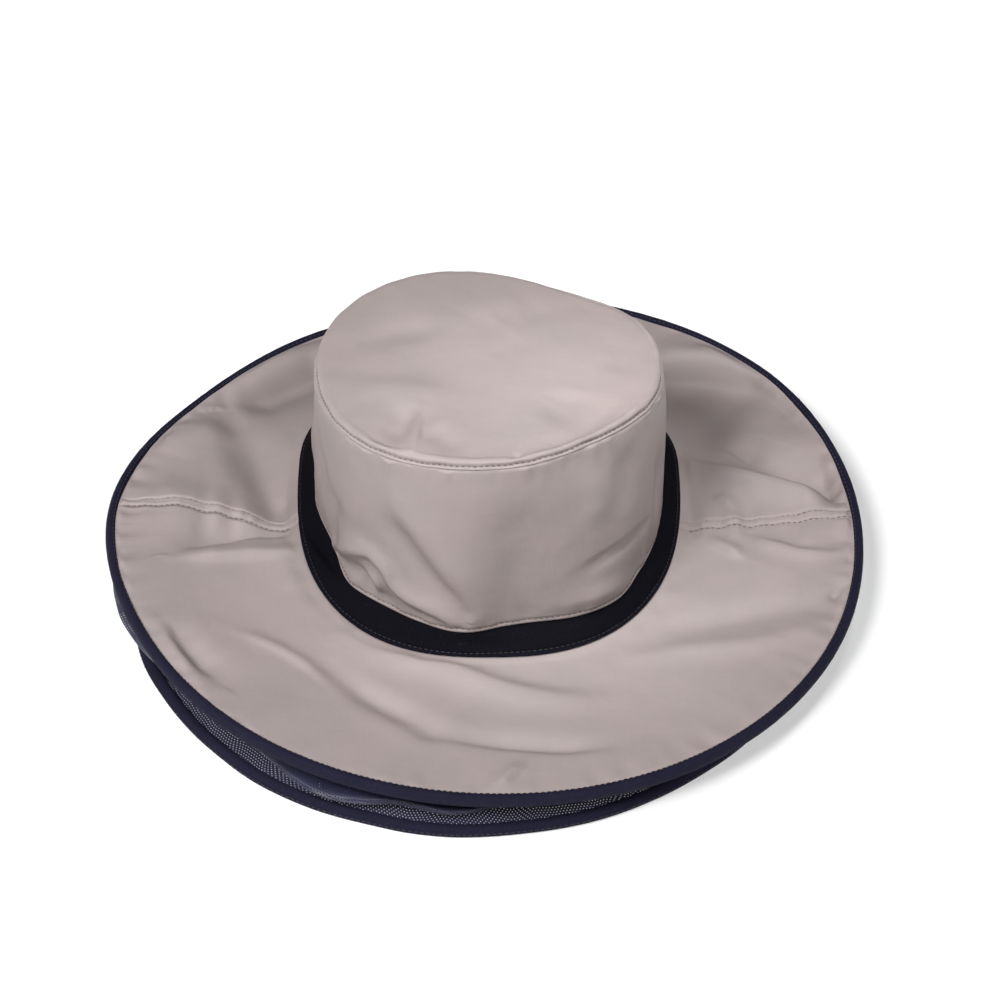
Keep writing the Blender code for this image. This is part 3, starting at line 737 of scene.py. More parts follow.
def band_surface(direction, share, cloth):
    """The ribbon band from the crown's foot out to its lower edge on the brim, which lies a little proud."""
    point = band_place(direction, share)
    outward = np.broadcast_to(unit(direction) * (0.6, 0.6, 0) + UP * 0.8, point.shape)
    relief = cloth.crease * crease_relief(point, BAND_CREASES, band_place, outward)
    relief += 0.6 * cloth.ripple * ripples(point, BAND_SEED)
    relief *= 1 - step(share, *BAND_CREASES_END)
    relief -= bell(share - BAND_GROOVE_SHARE, BAND_GROOVE)
    return point + outward * relief[..., None]


def new_piece(name, slot, points, faces):
    """A mesh in the slot's material, from points measured from the hat's axis."""
    mesh = bpy.data.meshes.new(name)
    mesh.from_pydata((points.reshape(-1, 3) + AXIS).tolist(), [], faces)
    mesh.materials.append(material(slot))
    mesh.shade_smooth()
    piece = bpy.data.objects.new(name, mesh)
    bpy.context.scene.collection.objects.link(piece)
    return piece


def grid_faces(rows, count, closed, pole):
    """Faces of a grid of rings whose columns go anticlockwise; a pole is one point inside the first ring."""
    first = 1 if pole else 0
    faces = [[0, 1 + column, 1 + (column + 1) % count] for column in range(count)] if pole else []
    for row in range(rows - 1):
        start = first + row * count
        for column in range(count if closed else count - 1):
            beside = (column + 1) % count
            faces.append([start + column, start + count + column, start + count + beside, start + beside])
    return faces


def lay_cloth_map(mesh, places, wrap):
    """A map of the cloth in metres, along and across its weave; wrap is its length round a closed ring."""
    layer = mesh.uv_layers.new(name="Cloth")
    corners = np.empty(len(mesh.loops), dtype=int)
    mesh.loops.foreach_get("vertex_index", corners)
    flat = places.reshape(-1, 2)[corners]
    if wrap:
        for polygon in mesh.polygons:
            span = slice(polygon.loop_start, polygon.loop_start + polygon.loop_total)
            if np.ptp(flat[span, 0]) > wrap / 2:
                flat[span, 0] += np.where(flat[span, 0] < wrap / 2, wrap, 0)
    layer.data.foreach_set("uv", flat.astype(np.float32).ravel())


def mark_seams(mesh, wear_and_painted_highlight):
    """How near each point is to a sewn edge, from 0 to 1, for the paler, rougher taffeta there and for the
    painted highlight on the navy ribbons.
    """
    layer = mesh.attributes.new("Wear_and_painted_highlight", "FLOAT", "POINT")
    layer.data.foreach_set("value", np.asarray(wear_and_painted_highlight, dtype=np.float32).ravel())


def settle(piece):
    """Makes a piece's modifiers part of its mesh."""
    bpy.context.view_layer.update()
    mesh = bpy.data.meshes.new_from_object(piece.evaluated_get(bpy.context.evaluated_depsgraph_get()))
    piece.modifiers.clear()
    piece.data = mesh
    return piece


def cloth_piece(name, slot, grid, places, wear_and_painted_highlight, wall, closed=True, wrap=0.0, pole=False):
    """A panel of cloth from a grid of rings, with its thickness behind the surface."""
    points, places, wear_and_painted_highlight = grid.reshape(-1, 3), places.reshape(-1, 2), wear_and_painted_highlight.ravel()
    rows, count = grid.shape[:2]
    if pole:
        rows -= 1
        points, places, wear_and_painted_highlight = points[count - 1 :], places[count - 1 :], wear_and_painted_highlight[count - 1 :]
    piece = new_piece(name, slot, points, grid_faces(rows, count, closed, pole))
    lay_cloth_map(piece.data, places, wrap)
    mark_seams(piece.data, wear_and_painted_highlight)
    if wall:
        solid = piece.modifiers.new("Wall", "SOLIDIFY")
        solid.thickness = wall
        solid.offset = -1
        settle(piece)
    return piece


def tube_piece(name, slot, sections, along, step_across):
    """A smooth closed tube round the hat. A section's points go anticlockwise with outwards to the right."""
    sections = np.stack(sections, axis=1)
    columns, count = sections.shape[:2]
    faces = []
    for column in range(columns):
        here, after = column * count, (column + 1) % columns * count
        for corner in range(count):
            beside = (corner + 1) % count
            faces.append([here + corner, after + corner, after + beside, here + beside])
    piece = new_piece(name, slot, sections, faces)
    across = step_across * np.arange(1, count + 1)
    places = np.stack(np.broadcast_arrays(along[:, None], across[None, :]), axis=-1)
    lay_cloth_map(piece.data, places, along[-1] + along[1] - along[0])
    # The whole tube takes the painted highlight of the lit navy
    mark_seams(piece.data, np.ones((columns, count)))
    smooth = piece.modifiers.new("Smooth", "SUBSURF")
    smooth.levels = smooth.render_levels = 1
    return settle(piece)


def dress(piece, slot, *nodes):
    """The piece rides on the hat's one body and stands for its solids. Its slot is not used."""
    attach(piece, "root")
    if nodes:
        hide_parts(*nodes)


class Value:
    """A number or colour that varies over a surface. Its operators add Math nodes to the tree."""

    def __init__(self, nodes, socket):
        self.nodes, self.socket = nodes, socket

    def joined(self, operation, *others):
        return self.nodes.make("ShaderNodeMath", {"operation": operation}, dict(enumerate((self, *others))))

    def __add__(self, other):
        return self.joined("ADD", other)

    def __mul__(self, other):
        return self.joined("MULTIPLY", other)

    def __rsub__(self, other):
        return (self * -1) + other

    __radd__ = __add__
    __rmul__ = __mul__


class Nodes:
    """Adds nodes to a shader's or a geometry's tree."""

    def __init__(self, tree):
        self.tree = tree

    def make(self, kind, settings=None, sockets=None, output=0):
        """One node: its settings first, then the values or links of its sockets."""
        node = self.tree.nodes.new(kind)
        for name, value in (settings or {}).items():
            setattr(node, name, value)
        for name, value in (sockets or {}).items():
            if isinstance(value, Value):
                self.tree.links.new(value.socket, node.inputs[name])
            else:
                node.inputs[name].default_value = value
        return Value(self, node.outputs[output])

    def mix(self, factor, first, second):
        return self.make("ShaderNodeMix", {"data_type": "RGBA"}, {0: factor, 6: first, 7: second}, output=2)

    def between(self, value, low, high):
        """0 where the value is low, 1 where it is high, and smooth between them."""
        sockets = {"Value": value, "From Min": low, "From Max": high}
        return self.make("ShaderNodeMapRange", {"interpolation_type": "SMOOTHSTEP"}, sockets)

    def noise(self, vector, scale, detail=3.0, roughness=0.5):
        sockets = {"Vector": vector, "Scale": scale, "Detail": detail, "Roughness": roughness}
        return self.make("ShaderNodeTexNoise", {"noise_dimensions": "3D"}, sockets)

    def stretched(self, vector, scale):
        return self.make("ShaderNodeMapping", {"vector_type": "POINT"}, {"Vector": vector, "Scale": scale})

    def shaded(self, colour, shade):
        return self.make("ShaderNodeVectorMath", {"operation": "SCALE"}, {0: colour, "Scale": shade})

    def place(self):
        """The place in the object's own space, for what doesn't follow the weave."""
        return self.make("ShaderNodeTexCoord", output=3)

    def wear_and_painted_highlight(self):
        """How near a sewn edge is, from 0 to 1; on the navy ribbons it lays a painted highlight."""
        return self.make("ShaderNodeAttribute", {"attribute_name": "Wear_and_painted_highlight"}, output=2)

    def cloth_map(self):
        """The cloth's map in metres, then its directions along and across the weave."""
        cloth = self.make("ShaderNodeUVMap", {"uv_map": "Cloth"})
        return cloth, *(self.make("ShaderNodeSeparateXYZ", {}, {0: cloth}, side) for side in (0, 1))

    def bump(self, height, distance, strength, below=None):
        sockets = {"Height": height, "Distance": distance, "Strength": strength}
        if below:
            sockets["Normal"] = below
        return self.make("ShaderNodeBump", {}, sockets)


def wave(value, pitch):
    """A sine wave along a direction of the cloth, from -1 to 1."""
    return (value * (2 * math.pi / pitch)).joined("SINE")


def taffeta(nodes, sizes, colours):
    """Close plain weave with fine crosswise slubs, a satin lie and paler, duller sewn edges."""
    cloth, along, across = nodes.cloth_map()
    place, wear_and_painted_highlight = nodes.place(), nodes.wear_and_painted_highlight()
    weave = wave(along, 2 * sizes.thread) * wave(across, 2 * sizes.thread)
    slub_across = nodes.noise(nodes.stretched(cloth, (60, 900, 1)), 1.0, 2.0)
    slub_along = nodes.noise(nodes.stretched(cloth, (1100, 70, 1)), 1.0, 2.0)
    slubs = slub_across * 0.6 + slub_along * 0.4
    clouds = nodes.noise(place, 26.0, 3.0, 0.6)
    tint = nodes.between(clouds, 0.35, 0.68)
    colour = nodes.mix(tint, (*colours.taffeta, 1), (*colours.taffeta_cool, 1))
    shaded = nodes.shaded(colour, 0.93 + 0.14 * slubs + 0.012 * weave)
    pale = (*(1.32 * part for part in colours.taffeta), 1)
    relief = nodes.bump(nodes.noise(place, 95.0, 2.0, 0.55), 0.0006, 0.55)
    relief = nodes.bump(weave * 0.5 + slubs * 0.9, 0.00012, 0.55, relief)
    rough = 0.42 + 0.10 * slubs + 0.06 * clouds + 0.10 * wear_and_painted_highlight
    links = {"Base Color": nodes.mix(wear_and_painted_highlight * 0.10, shaded, pale), "Roughness": rough, "Normal": relief}
    return links, {"Specular IOR Level": 0.38}


def ribbon(nodes, sizes, colours):
    """Matt navy ribbon with fine ribs across its length and a little lint, and a painted highlight where it
    binds an edge.
    """
    _, along, across = nodes.cloth_map()
    place = nodes.place()
    ribs, weft = wave(along, sizes.rib), wave(across, 0.6 * sizes.rib)
    clouds = nodes.noise(place, 60.0, 3.0, 0.6)
    lint = nodes.between(nodes.noise(place, 1400.0, 1.0), 0.68, 0.80)
    # Painted highlight: the ribbon turns to its lit copy on the binding, the hem and the band's lower edge
    ribbon_with_painted_highlight = nodes.mix(nodes.wear_and_painted_highlight(), (*colours.ribbon, 1), (*colours.binding, 1))
    base = nodes.shaded(ribbon_with_painted_highlight, 0.75 + 0.5 * clouds + 0.10 * ribs)
    colour = nodes.mix(lint * 0.10, base, (0.20, 0.20, 0.24, 1))
    relief = nodes.bump(ribs * 0.7 + weft * 0.3, 0.00016, 0.6, nodes.bump(clouds, 0.0008, 0.4))
    links = {"Base Color": colour, "Roughness": 0.60 + 0.16 * clouds, "Normal": relief}
    return links, {"Specular IOR Level": 0.06}


def net(nodes, sizes, colours):
    """Fine navy net: a honeycomb of threads round open holes, a little denser where it is gathered."""
    _, along, across = nodes.cloth_map()
    turn = 2 * math.pi / sizes.hole
    waves = 0.0
    for angle in (90, 210, 330):
        lengthwise, crosswise = math.cos(math.radians(angle)), math.sin(math.radians(angle))
        waves = ((along * (turn * lengthwise)) + (across * (turn * crosswise))).joined("COSINE") + waves
    gathers = nodes.noise(nodes.place(), 40.0, 2.0)
    threads = 1 - nodes.between(waves, 1.0 + 0.8 * gathers, 2.1 + 0.8 * gathers)
    colour = nodes.shaded(colours.net, 0.7 + 0.6 * gathers)
    relief = nodes.bump(threads, 0.00015, 0.6)
    links = {"Base Color": colour, "Alpha": threads, "Normal": relief, "Roughness": 0.42 + 0.15 * gathers}
    return links, {"Sheen Weight": 0.15, "Specular IOR Level": 0.4}


def twisted_thread(nodes, colour):
    """Twisted sewing thread."""
    twist = nodes.noise(nodes.place(), 2400.0, 2.0)
    base = nodes.shaded(colour, 0.75 + 0.5 * twist)
    links = {"Base Color": base, "Normal": nodes.bump(twist, 0.0001, 0.7), "Roughness": 0.45 + 0.2 * twist}
    return links, {"Sheen Weight": 0.1}


FINISHES = {
    TAFFETA: taffeta,
    RIBBON: ribbon,
    NET: net,
    "taupe_thread": lambda nodes, sizes, colours: twisted_thread(nodes, colours.taupe_thread),
    "navy_thread": lambda nodes, sizes, colours: twisted_thread(nodes, colours.navy_thread),
}


def material(slot):
    """The slot's material, made when it is first asked for and known again by its mark."""
    for made in bpy.data.materials:
        if made.get("finish") == slot:
            return made
    made = bpy.data.materials.new(slot)
    made.use_nodes = True
    made["finish"] = slot
    scene, nodes = bpy.context.scene, Nodes(made.node_tree)
    links, constants = FINISHES[slot](nodes, scene.hat_cloth, scene.hat_colours)
    shader = made.node_tree.nodes["Principled BSDF"]
    for socket, value in links.items():
        made.node_tree.links.new(value.socket, shader.inputs[socket])
    for socket, value in constants.items():
        shader.inputs[socket].default_value = value
    return made


def stitch_tree():
    """Geometry nodes that lay a row of stitches along a path, at an even pitch."""
    tree = bpy.data.node_groups.new("Row of stitches", "GeometryNodeTree")
    face = tree.interface
    face.new_socket("Geometry", in_out="OUTPUT", socket_type="NodeSocketGeometry")
    face.new_socket("Path", in_out="INPUT", socket_type="NodeSocketGeometry")
    for name, low in (("Pitch", 0.0005), ("Length", 0.0001), ("Width", 0.0001)):
        face.new_socket(name, in_out="INPUT", socket_type="NodeSocketFloat").min_value = low
    face.new_socket("Seed", in_out="INPUT", socket_type="NodeSocketInt")
    face.new_socket("Thread", in_out="INPUT", socket_type="NodeSocketMaterial")
    nodes = Nodes(tree)
    entry = tree.nodes.new("NodeGroupInput")
    given = {socket.name: Value(nodes, socket) for socket in entry.outputs}
    curve = nodes.make("GeometryNodeMeshToCurve", {}, {"Mesh": given["Path"]})
    pitch = given["Pitch"]
    even = nodes.make("GeometryNodeResampleCurve", {"mode": "LENGTH"}, {"Curve": curve, "Length": pitch})
    ball = nodes.make("GeometryNodeMeshUVSphere", {}, {"Segments": 8, "Rings": 5, "Radius": 0.5})
    size = nodes.make("ShaderNodeCombineXYZ", {}, {0: given["Length"], 1: given["Width"], 2: given["Width"]})
    stitch = nodes.make("GeometryNodeTransform", {}, {"Geometry": ball, "Scale": size})
    tangent = nodes.make("GeometryNodeInputTangent")
    turned = nodes.make("FunctionNodeAlignEulerToVector", {"axis": "X"}, {"Vector": tangent})
    vary = nodes.make(
        "FunctionNodeRandomValue", {"data_type": "FLOAT"}, {2: 0.88, 3: 1.08, "Seed": given["Seed"]}, output=1
    )
    places = {"Points": even, "Instance": stitch, "Rotation": turned, "Scale": vary}
    sewn = nodes.make("GeometryNodeInstanceOnPoints", {}, places)
    real = nodes.make("GeometryNodeRealizeInstances", {}, {"Geometry": sewn})
    smooth = nodes.make("GeometryNodeSetShadeSmooth", {}, {"Geometry": real})
    done = nodes.make("GeometryNodeSetMaterial", {}, {"Geometry": smooth, "Material": given["Thread"]})
    leave = tree.nodes.new("NodeGroupOutput")
    tree.links.new(done.socket, leave.inputs[0])
    return tree


def sew(name, paths, thread, seed):
    """Rows of stitches along paths, each a list of points and whether it closes, as one mesh."""
    cloth = bpy.context.scene.hat_cloth
    points = np.concatenate([path for path, _ in paths]) + AXIS
    edges, first = [], 0
    for path, closed in paths:
        last = len(path) if closed else len(path) - 1
        edges += [(first + index, first + (index + 1) % len(path)) for index in range(last)]
        first += len(path)
    mesh = bpy.data.meshes.new(name)
    mesh.from_pydata(points.tolist(), edges, [])
    piece = bpy.data.objects.new(name, mesh)
    bpy.context.scene.collection.objects.link(piece)
    rows = piece.modifiers.new("Stitches", "NODES")
    rows.node_group = bpy.data.node_groups.get("Row of stitches") or stitch_tree()
    sizes = {
        "Pitch": cloth.stitch_pitch,
        "Length": cloth.stitch_length,
        "Width": cloth.stitch_width,
        "Seed": seed,
        "Thread": material(thread),
    }
    for item in rows.node_group.interface.items_tree:
        if item.name in sizes:
            rows[item.identifier] = sizes[item.name]
    return settle(piece)


def around(cloth, finer=1):
    """Evenly spaced directions all round the hat."""
    columns = round(finer * cloth.columns)
    return np.arange(columns) * 360 / columns


def run(grid):
    """How far each point lies from the first ring, along its own column."""
    steps = np.linalg.norm(np.diff(grid, axis=0), axis=-1)
    return np.concatenate([np.zeros((1, grid.shape[1])), np.cumsum(steps, axis=0)])


class HAT_OT_stage(bpy.types.Operator):
    """Camera, pale floor and soft studio light"""

    bl_idname = "hat.stage"
    bl_label = "Stage"

    def execute(self, context):
        scene, stage = context.scene, context.scene.hat_stage
        target = Vector(AXIS) + Vector(LOOK_AT)
        rise = stage.elevation
        camera = bpy.data.objects.new("camera", bpy.data.cameras.new("camera"))
        camera.data.lens = stage.lens
        camera.data.shift_x = SHIFT_X / PICTURE
        camera.data.shift_y = SHIFT_Y / PICTURE
        camera.location = target + stage.distance * Vector((0, -math.cos(rise), math.sin(rise)))
        camera.rotation_euler = (math.pi / 2 - rise, 0, 0)
        scene.collection.objects.link(camera)
        scene.camera = camera
        self.sun("key", stage.key, *KEY_LIGHT)
        self.sun("fill", stage.fill, *FILL_LIGHT)
        self.softbox(stage.softbox)
        self.spot(stage.spot)
        scene.world = bpy.data.worlds.new("studio")
        scene.world.use_nodes = True
        sky = scene.world.node_tree.nodes["Background"].inputs
        sky["Color"].default_value = (1, 1, 1, 1)
        sky["Strength"].default_value = stage.sky
        scene.view_settings.view_transform = "Standard"
        self.floor(scene)
        return {"FINISHED"}

    def lamp(self, name, kind, power, place, turn):
        light = bpy.data.lights.new(name, kind)
        light.energy = power
        lamp = bpy.data.objects.new(name, light)
        lamp.location = place
        lamp.rotation_euler = turn
        bpy.context.scene.collection.objects.link(lamp)
        return light

    def sun(self, name, strength, aside, rise, spread):
        light = self.lamp(name, "SUN", strength, (0, 0, 0), (math.radians(90 - rise), 0, math.radians(aside)))
        light.angle = math.radians(spread)

    def near_lamp(self, name, kind, power, place, target):
        """A lamp that hangs at a place and shines on a target."""
        line = Vector(target) - Vector(place)
        return self.lamp(name, kind, power, place, line.to_track_quat("-Z", "Y").to_euler())

    def softbox(self, power):
        """A near, wide light, which fades across the hat."""
        light = self.near_lamp("softbox", "AREA", power, SOFTBOX_PLACE, SOFTBOX_TARGET)
        light.shape = "DISK"
        light.size = SOFTBOX_WIDTH

    def spot(self, power):
        """A lamp with a narrow soft beam, which lifts the crown's tip out of the brim."""
        light = self.near_lamp("crown_light", "SPOT", power, SPOT_PLACE, SPOT_TARGET)
        light.spot_size = math.radians(SPOT_ANGLE)
        light.spot_blend = 1.0
        light.shadow_soft_size = SPOT_WIDTH

    def floor(self, scene):
        corners = [(x * FLOOR_REACH, y * FLOOR_REACH, 0) for x, y in ((-1, -1), (1, -1), (1, 1), (-1, 1))]
        mesh = bpy.data.meshes.new("floor")
        mesh.from_pydata(corners, [], [(0, 1, 2, 3)])
        floor = bpy.data.objects.new("floor", mesh)
        pale = bpy.data.materials.new("pale_floor")
        pale.use_nodes = True
        look = {"Base Color": (*scene.hat_colours.floor, 1), "Roughness": 0.9, "Specular IOR Level": 0.1}
        look |= {"Emission Color": (1, 1, 1, 1), "Emission Strength": 0.25}
        for socket, value in look.items():
            pale.node_tree.nodes["Principled BSDF"].inputs[socket].default_value = value
        mesh.materials.append(pale)
        scene.collection.objects.link(floor)


class HAT_OT_crown(bpy.types.Operator):
    """The crown: its tip with a rolled, topstitched edge and its creased side wall"""

    bl_idname = "hat.crown"
    bl_label = "Crown"

    def execute(self, context):
        cloth = context.scene.hat_cloth
        self.tip(cloth)
        self.side(cloth)
        return {"FINISHED"}

    def tip(self, cloth):
        direction = around(cloth)[None, :]
        share = np.concatenate([np.linspace(0, 1, 58), np.linspace(1, 2, 19)[1:]])[:, None] + 0 * direction
        grid = tip_surface(direction, share, cloth)
        grid[0] = grid[0].mean(axis=0)
        wear_and_painted_highlight = step(share, 1.2, 1.6)
        tip = cloth_piece("crown_tip_cloth", TAFFETA, grid, grid[..., :2], wear_and_painted_highlight, cloth.wall, pole=True)
        turn = np.full(cloth.columns, 2 - TOPSTITCH_RISE / (TIP_ROLL * math.pi / 2))
        row = inwards(tip_surface(around(cloth), turn, cloth), -THREAD_LIE, 0.0001)
        stitches = sew("tip_topstitch", [(row, True)], "taupe_thread", 1)
        dress(tip, TAFFETA, "crown_tip")
        dress(stitches, TAFFETA)

    def side(self, cloth):
        direction = around(cloth)[None, :]
        bands = (np.linspace(0, 0.08, 13), np.linspace(0.08, 0.92, 48)[1:], np.linspace(0.92, 1, 13)[1:])
        share = np.concatenate(bands)[:, None] + 0 * direction
        grid = crown_surface(direction, share, cloth)
        places = np.stack([girth(direction + 0 * share, HEAD_HALF_WIDTH), share * CROWN_RISE], axis=-1)
        wear_and_painted_highlight = step(share, 0.95, 0.98) + 1 - step(share, 0.02, 0.06)
        side = cloth_piece("crown_side_cloth", TAFFETA, grid, places, wear_and_painted_highlight, cloth.wall, wrap=HEAD_GIRTH)
        row_share = np.full(cloth.columns, 1 - FOOT_STITCH_RISE / CROWN_RISE)
        row = inwards(crown_surface(around(cloth), row_share, cloth), -THREAD_LIE)
        stitches = sew("crown_foot_stitches", [(row, True)], "taupe_thread", 2)
        dress(side, TAFFETA, "crown_side")
        dress(stitches, TAFFETA)


class HAT_OT_band(bpy.types.Operator):
    """The navy ribbon round the crown's foot"""

    bl_idname = "hat.band"
    bl_label = "Band"

    def execute(self, context):
        cloth = context.scene.hat_cloth
        direction = around(cloth)[None, :]
        tuck_share = np.array([[1 - BAND_TUCK / CROWN_RISE], [1.0]]) + 0 * direction
        tucked = inwards(crown_surface(direction, tuck_share, cloth), cloth.wall + BAND_GAP)
        share = np.linspace(0.12, 1, 24)[:, None] + 0 * direction
        grid = np.concatenate([tucked, band_surface(direction, share, cloth)])
        places = np.stack([girth(direction + 0 * grid[..., 0], HEAD_HALF_WIDTH), run(grid)], axis=-1)
        # The band's lower edge takes a quarter of the ribbon's painted highlight
        wear_and_painted_highlight = np.concatenate([0 * tuck_share, 0.25 * step(share, BAND_GROOVE_SHARE, 1.0)])
        band = cloth_piece("crown_band_ribbon", RIBBON, grid, places, wear_and_painted_highlight, cloth.ribbon, wrap=HEAD_GIRTH)
        row = band_surface(around(cloth), np.full(cloth.columns, BAND_STITCH_SHARE), cloth)
        row[:, 2] += THREAD_LIE
        stitches = sew("band_stitches", [(row, True)], "navy_thread", 3)
        dress(band, RIBBON, "crown_band")
        dress(stitches, RIBBON)
        return {"FINISHED"}


class HAT_OT_brim(bpy.types.Operator):
    """The two halves of the brim with their felled side seams"""

    bl_idname = "hat.brim"
    bl_label = "Brim"

    def execute(self, context):
        cloth = context.scene.hat_cloth
        outsets = (-FELL_STITCH_OUTSET, FELL_WIDTH - 0.0002)
        rows = [(self.seam_row(middle, away, cloth), False) for middle in (0, 180) for away in outsets]
        stitches = sew("brim_seam_stitches", rows, "taupe_thread", 4)
        dress(stitches, TAFFETA)
        for name, start, with_pieces in (("brim_rear", 0, []), ("brim_front", 180, [stitches])):
            self.half(name, start, with_pieces, cloth)
        return {"FINISHED"}

    def seam_row(self, middle, away, cloth):
        """A row of stitches beside a side seam, a set distance in front of it."""
        side = 1 if middle == 0 else -1
        away -= 0 if middle == 0 else FELL_WIDTH
        reach = np.linspace(HEAD_HALF_WIDTH + BAND_FLARE + 0.004, BRIM_RADIUS - 0.002, 60)
        direction = middle - side * np.degrees(away / reach)
        inner = np.linalg.norm(band_foot(direction)[:, :2], axis=1)
        outer = np.linalg.norm(brim_edge(direction)[:, :2], axis=1)
        share = np.clip((reach - inner) / (outer - inner), 0, 1)
        row = brim_surface(direction, share, cloth)
        row[:, 2] += 0.0003
        return row

    def half(self, name, start, with_pieces, cloth):
        evenly = np.linspace(0, 1, round(1.25 * cloth.columns))[None, :]
        direction = start + 180 * (evenly - SEAM_CROWDING * np.sin(2 * math.pi * evenly) / (2 * math.pi))
        inner = -BRIM_TUCK / (BRIM_RADIUS - HEAD_HALF_WIDTH - BAND_FLARE)
        share = np.concatenate([[inner], np.linspace(0, 0.94, 62), np.linspace(0.94, 1.008, 9)[1:]])
        share = share[:, None] + 0 * direction
        grid = brim_surface(direction, share, cloth)
        wear_and_painted_highlight = np.clip(step(share, 0.95, 0.985) + bell(fell_away(grid) - FELL_WIDTH / 2, FELL_WEAR), 0, 1)
        panel = cloth_piece(name + "_cloth", TAFFETA, grid, grid[..., :2], wear_and_painted_highlight, cloth.wall, closed=False)
        dress(panel, TAFFETA, name)
        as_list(with_pieces)


class HAT_OT_binding(bpy.types.Operator):
    """The ribbon tube round the brim's springy hoop"""

    bl_idname = "hat.binding"
    bl_label = "Binding"

    def execute(self, context):
        cloth = context.scene.hat_cloth
        direction = around(cloth, finer=1.5)
        half = BINDING_HEIGHT / 2
        centre = binding_centre(direction)
        wobble = noise_relief(centre, 0.05, 71.0) * 0.0004
        round_it = girth(direction, BRIM_RADIUS)
        pinch = noise_relief(np.stack([round_it / 0.006] * 3, axis=-1), 1.0, 3.0) * 0.00022
        sections = [
            inwards(centre, -outward * BINDING_WIDTH - wobble, rise * half + wobble + pinch)
            for outward, rise in reversed(BINDING_OUTLINE)
        ]
        tube = tube_piece("brim_binding_ribbon", RIBBON, sections, round_it, 0.0014)
        row = inwards(centre, 0.40 * BINDING_WIDTH - wobble, 0.86 * half + wobble + pinch)
        stitches = sew("binding_stitches", [(row, True)], "navy_thread", 5)
        dress(tube, RIBBON, "brim_binding")
        dress(stitches, RIBBON)
        return {"FINISHED"}


def net_grid(direction, cloth):
    """The net's rings from the binding down to the hem, folded to and fro, with fine gathers across it."""
    edge, hem = brim_edge(direction), hem_edge(direction)
    room = binding_centre(direction)[:, 2] - BINDING_HEIGHT / 2
    rings = []
    for fold in NET_PATH:
        ring_point = between(edge, hem, np.full(len(direction), fold.to_hem))
        peek = fold.top_peek * swell(direction, TOP_PEEKS) + fold.middle_peek * swell(direction, MIDDLE_PEEKS)
        point = inwards(ring_point, NET_FOLD_DEPTH * fold.inset - NET_PEEK * peek)
        point[:, 2] = room * fold.height
        rings.append(point)
    rings.append(inwards(hem, np.full(len(direction), HEM_WIDTH / 2), HEM_HEIGHT * 0.6))
    path = smooth_path(rings, steps=6)
    down = np.linspace(0, 1, len(path))[:, None]
    held = edge_fade(down, fade=0.12)
    flat = path * (1, 1, 0)
    outward = flat / np.linalg.norm(flat, axis=-1, keepdims=True)
    round_it = girth(direction, BRIM_RADIUS)[None, :]
    for gathers in NET_GATHERS:
        places = np.broadcast_arrays(round_it / gathers.pitch, down * gathers.count, float(gathers.seed))
        height = held * noise_relief(np.stack(places, axis=-1), 1.0, 0.0)
        path = path + height[..., None] * (gathers.out * outward + gathers.up * UP)
    path[..., 2] = np.clip(path[..., 2], NET_FLOOR_GAP, None)
    return under_brim(path, direction, cloth)


def under_brim(points, direction, cloth):
    """Presses the points down where the brim above them dips, so that the cloths lie on each other."""
    direction = direction + 0 * points[..., 0]
    reach = np.linalg.norm(points[..., :2], axis=-1)
    inner = np.linalg.norm(band_foot(direction)[..., :2], axis=-1)
    outer = np.linalg.norm(brim_edge(direction)[..., :2], axis=-1)
    share = (reach - inner) / (outer - inner)
    roof = brim_surface(direction, np.clip(share, 0, 1), cloth)[..., 2] - cloth.wall - 0.0008
    points[..., 2] = np.where(share < 0.99, np.minimum(points[..., 2], roof), points[..., 2])
    return points


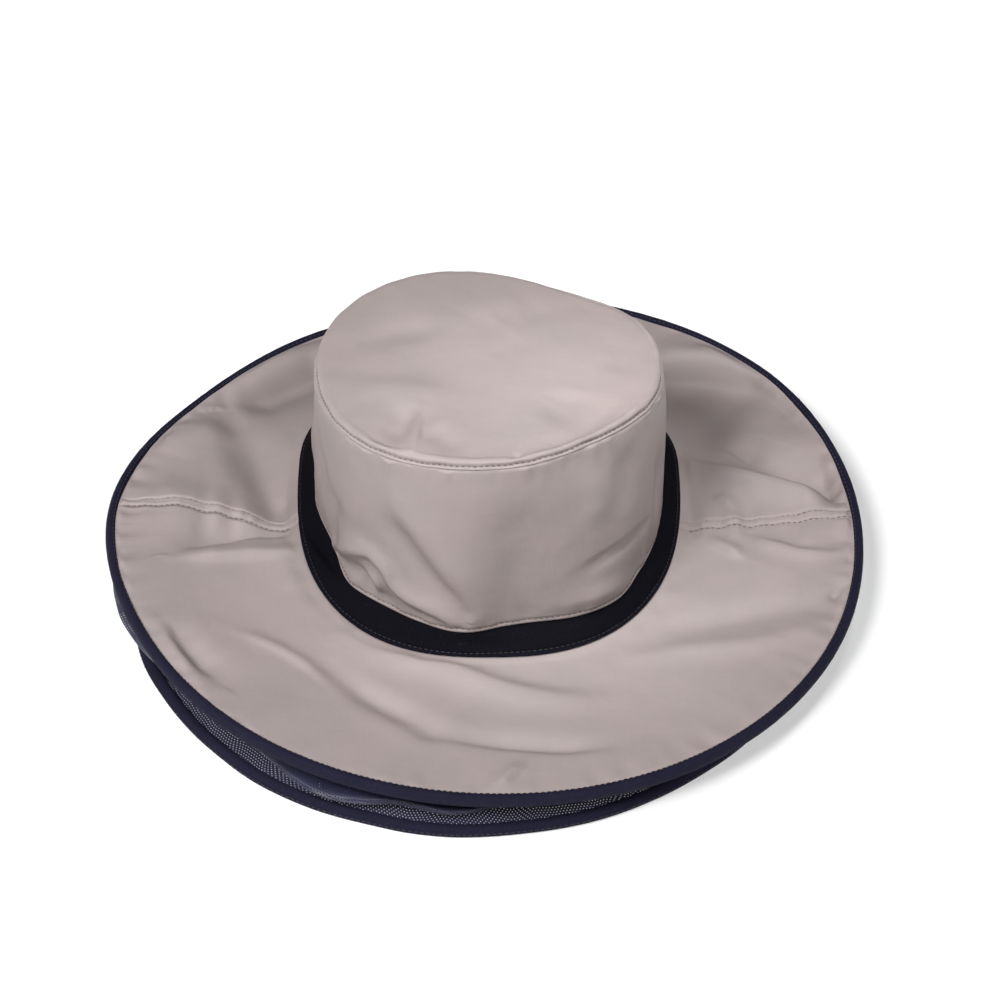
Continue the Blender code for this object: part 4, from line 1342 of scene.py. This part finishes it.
class HAT_OT_net(bpy.types.Operator):
    """The mosquito net folded under the brim, and its bound hem on the floor"""

    bl_idname = "hat.net"
    bl_label = "Net"

    def execute(self, context):
        cloth = context.scene.hat_cloth
        direction = around(cloth, finer=1.5)
        grid = net_grid(direction, cloth)
        down = run(grid)
        places = np.stack([girth(direction[None, :], BRIM_RADIUS) + 0 * down, down], axis=-1)
        net = cloth_piece("net_mesh", NET, grid, places, 0 * down, 0, wrap=BRIM_GIRTH)
        hem, stitches = self.hem(direction)
        dress(net, NET, "net")
        dress(hem, RIBBON, "net_hem")
        dress(stitches, RIBBON)
        return {"FINISHED"}

    def hem(self, direction):
        """A folded ribbon, flat on the floor."""
        soft = 0.0012
        outline = [
            (HEM_WIDTH, soft), (HEM_WIDTH - soft, 0), (soft, 0), (0, soft), (0, HEM_HEIGHT - 2 * soft),
            (soft, HEM_HEIGHT - 0.4 * soft), (HEM_WIDTH / 2, HEM_HEIGHT), (HEM_WIDTH - soft, HEM_HEIGHT),
            (HEM_WIDTH, HEM_HEIGHT - soft),
        ]
        edge = hem_edge(direction)
        wobble = noise_relief(edge, 0.035, 91.0) * 0.0010
        lift = np.abs(noise_relief(edge, 0.022, 95.0)) * 0.0005
        sections = [
            inwards(edge, inset + wobble, rise + rise / HEM_HEIGHT * lift) for inset, rise in outline
        ]
        tube = tube_piece("net_hem_ribbon", RIBBON, sections, girth(direction, HEM_RADIUS), 0.002)
        row = inwards(edge, wobble - 0.0001, HEM_HEIGHT * 0.62)
        return tube, sew("hem_stitches", [(row, True)], "navy_thread", 6)


class HAT_PT_panel(bpy.types.Panel):
    """Lists the hat's operators and sizes"""

    bl_label = "Mosquito net hat"
    bl_idname = "HAT_PT_panel"
    bl_space_type = "VIEW_3D"
    bl_region_type = "UI"
    bl_category = "Net hat"

    def draw(self, context):
        for operator in PIECES:
            self.layout.operator(operator.bl_idname)
        for group in (context.scene.hat_cloth, context.scene.hat_colours, context.scene.hat_stage):
            box = self.layout.box()
            for name in group.__annotations__:
                box.prop(group, name)


GROUPS = {"hat_cloth": HatCloth, "hat_colours": HatColours, "hat_stage": HatStage}
PIECES = (HAT_OT_stage, HAT_OT_crown, HAT_OT_band, HAT_OT_brim, HAT_OT_binding, HAT_OT_net)


def register():
    for name, group in GROUPS.items():
        bpy.utils.register_class(group)
        setattr(bpy.types.Scene, name, PointerProperty(type=group))
    for piece in (*PIECES, HAT_PT_panel):
        bpy.utils.register_class(piece)


def unregister():
    for piece in (*PIECES, HAT_PT_panel):
        bpy.utils.unregister_class(piece)
    for name, group in GROUPS.items():
        delattr(bpy.types.Scene, name)
        bpy.utils.unregister_class(group)


def main():
    register()
    bpy.ops.hat.stage()
    bpy.ops.hat.crown()
    bpy.ops.hat.band()
    bpy.ops.hat.brim()
    bpy.ops.hat.binding()
    bpy.ops.hat.net()


if __name__ == "__main__":
    main()
